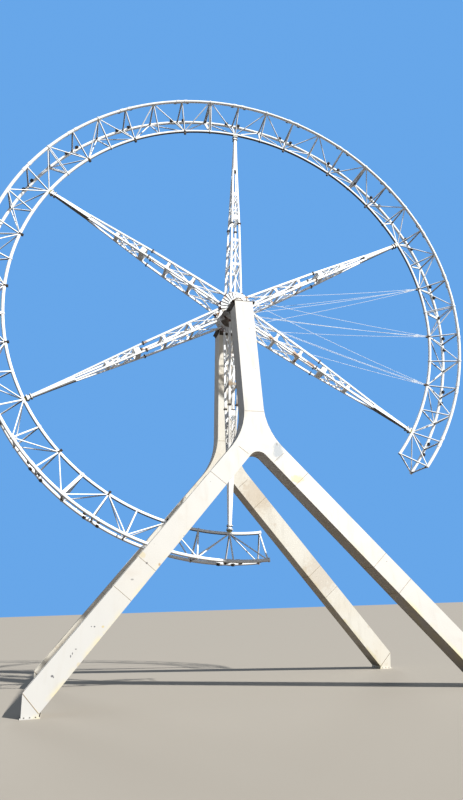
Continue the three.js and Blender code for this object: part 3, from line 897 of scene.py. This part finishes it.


# Rim fittings: splice flanges, cabin lugs on collars, clevises on bands round the inner chord, and dark tie
# feet that are partly painted shade

rimFittings = {
    "lugTurn": 1.6,  # degrees each side of a cabin station
    "lugTilt": 68,  # degrees from outwards towards the other outer chord
    "lugSeat": 0.045,
    "lug": {
        "Cheek Height": 0.085, "Cheek Length": 0.115, "Cheek Thickness": 0.018, "Clear Width": 0.036,
        "Pin Radius": 0.018,
    },
    "collarTurn": 1.0,
    "collar": (0.13, 0.064),  # length and radius
    "clevis": {
        "Cheek Height": 0.125, "Cheek Length": 0.08, "Cheek Thickness": 0.018, "Clear Width": 0.03,
        "Pin Radius": 0.02,
    },
    "band": (0.07, 0.0595),  # length and radius
    "bandSides": 16,
    "tieFoot": (0.05, 0.13),  # from the chord's middle along the tie
    "tieFootRadii": {"heavy": 0.036, "light": 0.033},
    "tieFootSides": 8,
    "spliceBays": (0, 2),
    "splice": {
        "Flange Radius": 0.072, "Flange Thickness": 0.016, "Gap": 0.004,
        "Bolt Count": 10, "Bolt Circle": 0.0635, "Bolt Width": 0.012,
    },
}


def clevisStations():
    # cabin stations without a spoke
    return [angle for angle in cabinStations() if angle % 360 not in wheelLayout["spokeAngles"]]


def tieFootLines():
    lines = []
    outer, half = wheelLayout["outerRadius"], wheelLayout["halfWidth"]
    for number in wheelLayout["segments"]:
        for bay in range(wheelLayout["baysPerSegment"] + 1):
            angle, inset = bayAngle(number, bay), frameInset(number, bay)
            radius = rimFittings["tieFootRadii"]["heavy" if bay in rimSteel["heavyBays"] else "light"]
            for side in both:
                depths = [side * (half - reach) for reach in rimFittings["tieFoot"]]
                lines.append(([wheelPoint(angle, outer, inset, depth) for depth in depths], radius))
    return lines


def spliceSpots():
    spots = []
    for number in wheelLayout["segments"]:
        for bay in rimFittings["spliceBays"]:
            angle = bayAngle(number, bay)
            along = wheelTurn(angle) @ Matrix.Rotation(math.pi / 2, 3, "Y")
            spots += [(wheelPoint(angle, radius, 0, depth), along, one) for radius, depth in rimChords]
    return spots


def lugSpots():
    spots = []
    tilt = math.radians(rimFittings["lugTilt"])
    radius = wheelLayout["outerRadius"] + rimFittings["lugSeat"] * math.cos(tilt)
    depth = wheelLayout["halfWidth"] - rimFittings["lugSeat"] * math.sin(tilt)
    for angle in cabinStations():
        for side, turn in corners:
            place = angle + turn * rimFittings["lugTurn"]
            facing = wheelTurn(place, side * rimFittings["lugTilt"])
            spots.append((wheelPoint(place, radius, 0, side * depth), facing, one))
    return spots


def bandLine(angle, chordRadius, depth, length, radius):
    # a short sleeve round a chord
    return [wheelPoint(angle, chordRadius, across, depth) for across in (-length / 2, length / 2)], radius


def collarLines():
    lines = []
    outer, half = wheelLayout["outerRadius"], wheelLayout["halfWidth"]
    for angle in cabinStations():
        for side, turn in corners:
            place = angle + turn * rimFittings["collarTurn"]
            lines.append(bandLine(place, outer, side * half, *rimFittings["collar"]))
    return lines


def clevisSpots():
    under = Matrix.Rotation(math.pi, 3, "Y")
    inner = wheelLayout["innerRadius"]
    return [(wheelPoint(angle, inner), wheelTurn(angle) @ under, one) for angle in clevisStations()]


def clevisBands():
    inner = wheelLayout["innerRadius"]
    return [bandLine(angle, inner, 0.0, *rimFittings["band"]) for angle in clevisStations()]


bandSides = {"Sides": rimFittings["bandSides"]}
# dark feet at the tie ends: partly dark joint steel, partly a dark piece put where the ties are in shade, as
# painted shade
grow(
    "rimTieFeetAndShade", "tubes", tieFootLines(), "dark", "wheel",
    values={"Sides": rimFittings["tieFootSides"]},
)
grow(
    "rimSpliceFlanges", "flanges", spliceSpots(), "wheel", "wheel",
    values=rimFittings["splice"],
)
grow("cabinLugs", "lugs", lugSpots(), "dark", "wheel", values=rimFittings["lug"])
grow("cabinLugCollars", "tubes", collarLines(), "wheel", "wheel", values=bandSides)
grow("rimClevises", "lugs", clevisSpots(), "dark", "wheel", values=rimFittings["clevis"])
grow("rimClevisBands", "tubes", clevisBands(), "dark", "wheel", values=bandSides)
print("rim fittings made")


# Spoke ends at the rim: seat block, neck and dark bolted plates

spokeEnd = {
    "seats": ((7.77, (0.135, 0.11, 0.09)),),  # radius and size of each block
    "seatBevel": 0.008,
    "plates": ((7.735, (0.19, 0.19, 0.02)),),
    "plateBevel": 0.003,
    "shims": ((7.7215, (0.13, 0.13, 0.009)), (7.616, (0.15, 0.15, 0.016))),
    "bolts": ((7.675, 7.768), (7.562, 7.632)),
    "boltOffset": 0.066,
    "boltRadius": 0.0155,
    "boltSides": 8,
}


def spokeBlocks(blocks):
    return [
        (wheelPoint(angle, radius), wheelTurn(angle), size)
        for radius, size in blocks
        for angle in wheelLayout["spokeAngles"]
    ]


def spokeEndBolts():
    lines = []
    reach = spokeEnd["boltOffset"]
    for angle in wheelLayout["spokeAngles"]:
        for across, depth in corners:
            for ends in spokeEnd["bolts"]:
                points = [wheelPoint(angle, radius, across * reach, depth * reach) for radius in ends]
                lines.append((points, spokeEnd["boltRadius"]))
    return lines


grow(
    "spokeSeats", "blocks", spokeBlocks(spokeEnd["seats"]), "seat", "wheel",
    bevel=spokeEnd["seatBevel"],
)
grow(
    "spokeSeatPlates", "blocks", spokeBlocks(spokeEnd["plates"]), "wheel", "wheel",
    bevel=spokeEnd["plateBevel"],
)
grow("spokeEndShims", "blocks", spokeBlocks(spokeEnd["shims"]), "dark", "wheel")
grow(
    "spokeEndBolts", "tubes", spokeEndBolts(), "dark", "wheel",
    values={"Sides": spokeEnd["boltSides"]},
)


# Spoke lattice: crossed braces, curved haunches, dark joint plates and hub lugs

spokeWork = {
    "hub": (0.47, 0.195, 0.448),  # radius, half width across, half width along the axle
    "joint": (3.57, 0.135, 0.294),
    "boxStart": (6.0, 0.072, 0.078),
    "bays": ((0.6, 1.75), (1.85, 2.78), (3.96, 4.42), (4.42, 4.88)),
    "brace": 0.017,
    "braceSides": 8,
    "chordHalf": 0.033,
    "rings": (1.8, 2.83, 3.86, 4.945),
    "ringHalf": 0.05,
    "haunch": {"Leg": 0.085, "Thickness": 0.018, "Curve Steps": 6},
    "jointPlate": (0.116, 0.116, 0.044),
    "jointBevel": 0.003,
    "hubLug": (0.51, 0.195, 0.47),  # as the stations above
    "lugSize": (0.1, 0.104, 0.128),
    "lugBevel": 0.006,
}


def spokeSection(radius):
    # half widths of the lattice across the spoke and along the axle
    stations = ("hub", "joint") if radius < spokeWork["joint"][0] else ("joint", "boxStart")
    low, high = [spokeWork[station] for station in stations]
    share = (radius - low[0]) / (high[0] - low[0])
    return low[1] + (high[1] - low[1]) * share, low[2] + (high[2] - low[2]) * share


def braceLines():
    lines = []
    for angle in wheelLayout["spokeAngles"]:
        for low, high in spokeWork["bays"]:
            (a0, d0), (a1, d1) = spokeSection(low), spokeSection(high)
            for side, cross in corners:
                courses = (
                    ((cross * a0, side * d0), (-cross * a1, side * d1)),
                    ((side * a0, cross * d0), (side * a1, -cross * d1)),
                )
                for start, end in courses:
                    ends = (wheelPoint(angle, low, *start), wheelPoint(angle, high, *end))
                    lines.append((ends, spokeWork["brace"]))
    return lines


grow(
    "spokeBraces", "tubes", braceLines(), "wheel", "wheel",
    values={"Sides": spokeWork["braceSides"]},
)

outerSpoke = {
    "chord": 0.06,  # thickness of the square chords
    "chordEnds": (3.58, 6.15),
    "rings": ((3.76, 3.96), (4.88, 5.01)),
    "plate": 0.024,
    "box": ((6.1, 0.1026, 0.1082, 0.04), (7.585, 0.058, 0.062, 0.022)),  # radius, half sizes, corner cut
    "neck": (  # radius and size of each block
        (7.65, (0.12, 0.12, 0.14)),
        (7.596, (0.18, 0.18, 0.022)),
        (7.7085, (0.18, 0.18, 0.022)),
    ),
    "bevel": 0.004,
}


def barSpot(start, end, sideways, width):
    # a block lying along a line
    along = (end - start).normalized()
    depth = along.cross(sideways).normalized()
    turn = Matrix((depth.cross(along), depth, along)).transposed()
    return (start + end) / 2, turn, (width, width, (end - start).length)


def chordSpots(angle):
    sideways = Vector(wheelTurn(angle).col[0])
    spots = []
    for across, depth in corners:
        ends = []
        for radius in outerSpoke["chordEnds"]:
            a, d = spokeSection(radius)
            ends.append(wheelPoint(angle, radius, across * a, depth * d))
        spots.append(barSpot(*ends, sideways, outerSpoke["chord"]))
    return spots


def ringSpots(angle):
    turn = wheelTurn(angle)
    plate = outerSpoke["plate"]
    spots = []
    for low, high in outerSpoke["rings"]:
        middle = (low + high) / 2
        a, d = spokeSection(middle)
        for side in both:
            spots.append((wheelPoint(angle, middle, 0, side * d), turn, (2 * a + plate, plate, high - low)))
            spots.append((wheelPoint(angle, middle, side * a, 0), turn, (plate, 2 * d + plate, high - low)))
    return spots


def neckSpots(angle):
    return [(wheelPoint(angle, radius), wheelTurn(angle), size) for radius, size in outerSpoke["neck"]]


def boxSection(angle, radius, a, d, cut):
    # the corners of the closed end are cut, so each section has eight points
    outline = (
        (a, cut - d), (a, d - cut), (a - cut, d), (cut - a, d),
        (-a, d - cut), (-a, cut - d), (cut - a, -d), (a - cut, -d),
    )
    return [wheelPoint(angle, radius, across, depth) for across, depth in outline]


def spokeEndBoxes():
    vertices, faces = [], []
    for angle in wheelLayout["spokeAngles"]:
        first = len(vertices)
        low, high = [boxSection(angle, *station) for station in outerSpoke["box"]]
        count = len(low)
        vertices += low + high
        faces.append([first + i for i in range(count)])
        faces.append([first + count + i for i in range(count)])
        for i in range(count):
            k = (i + 1) % count
            faces.append([first + i, first + k, first + count + k, first + count + i])
    nodes = [f"spoke_{angle:03d}_outer_truss" for angle in wheelLayout["spokeAngles"]]
    shape("spokeEndBoxes", vertices, faces, "wheel", "wheel", nodes)


spokeEndBoxes()
outerSpots = []
for angle in wheelLayout["spokeAngles"]:
    outerSpots += chordSpots(angle) + ringSpots(angle) + neckSpots(angle)
grow("outerSpokeBars", "blocks", outerSpots, "wheel", "wheel", bevel=outerSpoke["bevel"])


def haunchSpots():
    # one gusset in every corner between a chord and a ring plate, on all four faces
    spots = []
    half = spokeWork["chordHalf"]
    stations = [(ring, outSide) for ring in spokeWork["rings"] for outSide in both]
    for angle in wheelLayout["spokeAngles"]:
        across, along, outward = [Vector(axis) for axis in wheelTurn(angle).col]
        for ring, outSide in stations:
            radius = ring + outSide * spokeWork["ringHalf"]
            a, d = spokeSection(radius)
            for side, corner in corners:
                for u, uPlace, w, wPlace in ((across, a, along, d), (along, d, across, a)):
                    place = wheelPoint(angle, radius) + u * corner * (uPlace - half) + w * side * wPlace
                    first, second = u * -corner, outward * outSide
                    spots.append((place, Matrix((first, second, first.cross(second))).transposed(), one))
    return spots


def cornerSpots(radius, across, depth, size):
    # one block on each chord of every spoke
    return [
        (wheelPoint(angle, radius, corner * across, side * depth), wheelTurn(angle), size)
        for angle in wheelLayout["spokeAngles"]
        for side, corner in corners
    ]


grow("spokeHaunches", "haunches", haunchSpots(), "wheel", "wheel", values=spokeWork["haunch"])
grow(
    "spokeJointPlates", "blocks", cornerSpots(*spokeWork["joint"], spokeWork["jointPlate"]),
    "dark", "wheel", bevel=spokeWork["jointBevel"],
)
grow(
    "hubLugBlocks", "blocks", cornerSpots(*spokeWork["hubLug"], spokeWork["lugSize"]),
    "lug", "wheel", bevel=spokeWork["lugBevel"],
)
print("spoke work made")


# Stays: thin ropes from the hub flanges to the clevises on the right, each with a turnbuckle

stayWork = {
    "startRadius": 0.505,
    "startTurn": 40,
    "plane": 0.566,
    "planeStep": 0.028,
    "endRadius": 7.735,
    "endOffset": 0.032,
    "rope": 0.006,
    "sag": 0.07,
    "steps": 14,
    "screwEnds": (0.93, 0.955),  # shares of the rope's run
    "screw": 0.011,
    "eyeLength": 0.05,
    "eyeOverhang": 0.3,  # share of the eye's length
    "eye": 0.016,
    "sides": 6,
}


def stayRuns():
    runs = []
    for layer, angle in enumerate(wheelLayout["cableAngles"]):
        plane = stayWork["plane"] + layer * stayWork["planeStep"]
        for side, turn in corners:
            start = angle + turn * stayWork["startTurn"]
            first = wheelPoint(start, stayWork["startRadius"], 0, side * plane)
            last = wheelPoint(angle, stayWork["endRadius"], 0, side * stayWork["endOffset"])
            runs.append((first, last))
    return runs


def stayPoint(first, last, share):
    # a point on the rope, which hangs deepest in the middle
    point = first.lerp(last, share)
    point.z -= 4 * stayWork["sag"] * share * (1 - share)
    return point


def stayLines():
    lines = []
    steps = stayWork["steps"]
    for first, last in stayRuns():
        shares = [i / steps for i in range(steps + 1)]
        for stops, radius in ((shares, stayWork["rope"]), (stayWork["screwEnds"], stayWork["screw"])):
            lines.append(([stayPoint(first, last, share) for share in stops], radius))
        inward = Vector((0, -math.copysign(stayWork["eyeLength"], first.y), 0))
        lines.append(((first - inward * stayWork["eyeOverhang"], first + inward), stayWork["eye"]))
    return lines


grow(
    "stayRopes", "tubes", stayLines(), "rope", "wheel",
    replaced=[f"stay_cables_{angle:03d}" for angle in wheelLayout["cableAngles"]],
    values={"Sides": stayWork["sides"]},
)
print("stays made")


# Hub: ribs and bolts on both flanges

hubWork = {
    "flangeFace": 0.55,
    "ribs": {
        "Rib Count": 24, "Inner Radius": 0.29, "Outer Radius": 0.557,
        "Rib Height": 0.03, "Rib Thickness": 0.02,
    },
    "bossFace": 0.6,
    "bolts": {"Bolt Count": 12, "Bolt Circle": 0.235, "Head Width": 0.036, "Head Height": 0.024},
}


def axleFaces(depth, turn=flat):
    # one spot on each side of the wheel, local Z away from it
    faces = []
    for side in both:
        outward = Matrix.Rotation(-side * math.pi / 2, 3, "X")
        faces.append((Vector((0, side * depth, hubCentre.z)), turn @ outward, one))
    return faces


ribFaces = axleFaces(hubWork["flangeFace"], wheelTurn(0))
grow("hubRibs", "ribs", ribFaces, "wheel", "wheel", values=hubWork["ribs"])
bossFaces = axleFaces(hubWork["bossFace"], wheelTurn(0))
grow("hubBossBolts", "boltRing", bossFaces, "dark", "wheel", values=hubWork["bolts"])
print("hub work made")


# Towers: edge lips, weld seams, foot and bearing bolts

footWork = {
    "plateTop": 0.028,
    "overhang": 0.017,
    "boltsAlong": 5,
    "boltsAcross": 3,
    "bolt": {"Head Width": 0.022, "Head Height": 0.016},
}
towerWork = {
    "lip": 0.008,
    "lipThickness": 0.014,
    "curveSteps": 16,
}


def towardsGround(knee):
    return [knee, (knee[0], hubCentre.z - footWork["plateTop"])]


def outerEdge():
    # right-hand outer edge of a tower from the mast head to the ground, as (x, drop)
    w = towerLayout["mastHalfWidth"]
    corner = (w + towerLayout["legOuter"]) / towerLayout["legSlope"]
    length = math.hypot(towerLayout["legSlope"], 1)
    run = towerLayout["shoulderRun"]
    above = Vector((w, corner - run))
    middle = Vector((w, corner))
    below = Vector((w + run * towerLayout["legSlope"] / length, corner + run / length))
    points = [(w, towerLayout["mastTop"])]
    for i in range(towerWork["curveSteps"] + 1):
        t = i / towerWork["curveSteps"]
        p = above * (1 - t) ** 2 + middle * 2 * t * (1 - t) + below * t ** 2
        points.append((p.x, p.y))
    return points + towardsGround(towerLayout["knee"][0])


def innerEdge():
    # right-hand inner edge from the crotch to the ground
    slant = math.atan(towerLayout["legSlope"])
    radius = towerLayout["crotchRadius"]
    centre = towerLayout["legInner"] / towerLayout["legSlope"] + radius / math.sin(slant)
    points = []
    for i in range(towerWork["curveSteps"] + 1):
        turn = (math.pi / 2 - slant) * i / towerWork["curveSteps"]
        points.append((radius * math.sin(turn), centre - radius * math.cos(turn)))
    return points + towardsGround(towerLayout["knee"][1])


def addLip(vertices, faces, place, edge, hand, outward, depth):
    # a thin strip standing off an edge in the plane of the plate
    points = [Vector((hand * x, drop)) for x, drop in edge]
    first = len(vertices)
    section = ((0.0, 0.0), (towerWork["lip"], 0.0), (towerWork["lip"], 1.0), (0.0, 1.0))
    for i, point in enumerate(points):
        along = (points[min(i + 1, len(points) - 1)] - points[max(i - 1, 0)]).normalized()
        normal = Vector((along.y, -along.x)) * hand * outward
        for offset, level in section:
            x, drop = point + normal * offset
            vertices.append(towerPoint(place, x, drop, depth + level * towerWork["lipThickness"]))
    for i in range(first, len(vertices) - 4, 4):
        for j in range(4):
            k = (j + 1) % 4
            faces.append((i + j, i + k, i + 4 + k, i + 4 + j))
    last = len(vertices) - 4
    faces.append((first, first + 1, first + 2, first + 3))
    faces.append((last + 3, last + 2, last + 1, last))


def towerLips(place):
    vertices, faces = [], []
    for hand in both:
        for edge, outward in ((outerEdge(), 1), (innerEdge(), -1)):
            for depth in (0.0, towerLayout["depth"] - towerWork["lipThickness"]):
                addLip(vertices, faces, place, edge, hand, outward, depth)
    shape(f"{place}TowerLips", vertices, faces, f"{place}Tower", "root")


for place in towerLayout["side"]:
    towerLips(place)

towerJoints = {
    "mastSeam": 4.37,
    "legs": (  # x and drop of both ends, on the right half
        ((1.487, 6.350), (1.048, 6.730)),
        ((3.565, 8.750), (3.126, 9.130)),
        ((4.204, 9.487), (3.765, 9.867)),
    ),
    "knuckles": {-1: ((0.5895, 5.544), (0.3046, 5.780)), 1: ((0.801, 5.726), (0.480, 6.001))},
    "bandRadius": 0.006,
    "kneeRadius": 0.009,
    "sides": 6,
}


def seamLoop(place, first, second, radius):
    depth = towerLayout["depth"]
    sides = ((first, 0), (second, 0), (second, depth), (first, depth))
    loop = [towerPoint(place, *end, level) for end, level in sides]
    return [((point, loop[(i + 1) % len(loop)]), radius) for i, point in enumerate(loop)]


def towerSeamLines(place):
    w = towerLayout["mastHalfWidth"]
    seam = towerJoints["mastSeam"]
    lines = seamLoop(place, (-w, seam), (w, seam), towerJoints["bandRadius"])
    for hand, knuckle in towerJoints["knuckles"].items():
        seams = [(ends, towerJoints["bandRadius"]) for ends in (knuckle, *towerJoints["legs"])]
        seams.append((towerLayout["knee"], towerJoints["kneeRadius"]))
        for (first, second), radius in seams:
            lines += seamLoop(place, (hand * first[0], first[1]), (hand * second[0], second[1]), radius)
    return lines


for place in towerLayout["side"]:
    grow(
        f"{place}TowerSeams", "tubes", towerSeamLines(place), "seam", "root",
        values={"Sides": towerJoints["sides"]},
    )


def shared(low, high, count):
    return [low + (high - low) * (i + 0.5) / count for i in range(count)]


def footBoltSpots():
    over = footWork["overhang"]
    (right, _), (left, _) = towerLayout["knee"]
    near = towerLayout["innerFace"] + towerLayout["lean"] * hubCentre.z
    far = near + towerLayout["depth"]
    ring = [(x, y) for x in shared(left, right, footWork["boltsAcross"]) for y in (near - over, far + over)]
    ring += [(x, y) for y in shared(near, far, footWork["boltsAlong"]) for x in (left - over, right + over)]
    top = footWork["plateTop"]
    return [(Vector((hand * x, side * y, top)), flat, one) for side, hand in corners for x, y in ring]


grow("footBolts", "bolts", footBoltSpots(), "dark", "root", values=footWork["bolt"])

bearingWork = {
    "outerFace": 0.885,
    "bolts": {"Bolt Count": 8, "Bolt Circle": 0.155, "Head Width": 0.024, "Head Height": 0.016},
}
grow(
    "bearingCoverBolts", "boltRing", axleFaces(bearingWork["outerFace"]), "bare", "root",
    values=bearingWork["bolts"],
)
print("tower work made")


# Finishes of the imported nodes


def nodeFinish(name):
    if "housing" in name or name == "hub_drum":
        return "housing"
    if "bearing" in name:
        return "dark"
    if name == "main_axle":
        return "bare"
    if name.startswith("stay_cables"):
        return "rope"
    for tower in towerLayout["side"]:
        if name.startswith(tower) and "flange" not in name:
            return f"{tower}Tower"
    return "wheel"


for name, node in frame["nodes"].items():
    node.data.materials.clear()
    node.data.materials.append(finishes[nodeFinish(name)])
print("finishes set")


# Camera, floor and light

photoView = {
    "place": (-5.392, -20.470, 2.272),
    "yaw": 14.378,  # degrees to the right of the axle's line
    "pitch": 17.897,
    "roll": -1.868,
    "lens": 29.0,  # on the photo's long side
    "sensor": 36.0,
    "clipEnd": 2500,
}
studio = {
    "floorSize": 2000.0,
    "floorColor": (0.325, 0.298, 0.26),
    "floorBounce": (0.17, 0.145, 0.118),  # what the floor throws back onto the steelwork
    "floorRoughness": 0.9,
    "backdropColor": (0.145, 0.405, 0.86),
    "backdropStrength": 0.95,
    "fillColor": (0.62, 0.77, 1.0),
    "fillStrength": 0.27,
}
lights = {  # turn is in degrees to the right of straight behind the viewer
    "key": {
        "color": (1.0, 0.97, 0.91), "strength": 6.8, "angle": 1.5,
        "height": 38.0, "turn": 41.0, "glossy": True,
    },
    "back": {  # without gloss, so no glare along the sides of the masts
        "color": (0.86, 0.93, 1.0), "strength": 1.1, "angle": 12.0,
        "height": 25.0, "turn": 172.0, "glossy": False,
    },
}


def turnAbout(axis, degrees):
    return Matrix.Rotation(math.radians(degrees), 4, axis)


def addCamera():
    data = bpy.data.cameras.new("photoCamera")
    data.sensor_width = photoView["sensor"]
    data.lens = photoView["lens"]
    data.clip_end = photoView["clipEnd"]
    camera = newObject("photoCamera", data)
    camera.matrix_world = (
        Matrix.Translation(photoView["place"])
        @ turnAbout("Z", -photoView["yaw"])
        @ turnAbout("X", 90 + photoView["pitch"])
        @ turnAbout("Z", photoView["roll"])
    )
    bpy.context.scene.camera = camera


def addLight(name, values):
    sun = bpy.data.lights.new(name, "SUN")
    sun.energy = values["strength"]
    sun.angle = math.radians(values["angle"])
    sun.color = values["color"]
    lamp = newObject(name, sun)
    lamp.matrix_world = turnAbout("Z", values["turn"]) @ turnAbout("X", 90 - values["height"])
    lamp.visible_glossy = values["glossy"]


def seenDirectly(tree):
    return put(tree, "ShaderNodeLightPath").outputs["Is Camera Ray"]


def addFloor():
    half = studio["floorSize"] / 2
    mesh = bpy.data.meshes.new("floor")
    edge = [(-half, -half, 0), (half, -half, 0), (half, half, 0), (-half, half, 0)]
    mesh.from_pydata(edge, [], [(0, 1, 2, 3)])
    floor = newObject("floor", mesh)
    material = bpy.data.materials.new("floorPlain")
    material.use_nodes = True
    tree = material.node_tree
    shader = tree.nodes["Principled BSDF"]
    tone = blendColor(tree, seenDirectly(tree), studio["floorBounce"], studio["floorColor"])
    tree.links.new(tone, shader.inputs["Base Color"])
    shader.inputs["Roughness"].default_value = studio["floorRoughness"]
    mesh.materials.append(material)


def addSky():
    # soft fill for the steelwork, plain blue behind it
    world = bpy.data.worlds.new("softSky")
    world.use_nodes = True
    tree = world.node_tree
    fill = tree.nodes["Background"]
    fill.inputs["Color"].default_value = (*studio["fillColor"], 1)
    fill.inputs["Strength"].default_value = studio["fillStrength"]
    sockets = {"Color": (*studio["backdropColor"], 1), "Strength": studio["backdropStrength"]}
    seen = made(tree, "ShaderNodeBackground", sockets)
    mixed = made(tree, "ShaderNodeMixShader", {0: seenDirectly(tree), 1: fill.outputs[0], 2: seen})
    tree.links.new(mixed, tree.nodes["World Output"].inputs["Surface"])
    bpy.context.scene.world = world


addCamera()
addFloor()
addSky()
for name, values in lights.items():
    addLight(name, values)
bpy.context.scene.view_settings.view_transform = "Standard"
print("camera, floor and light set")
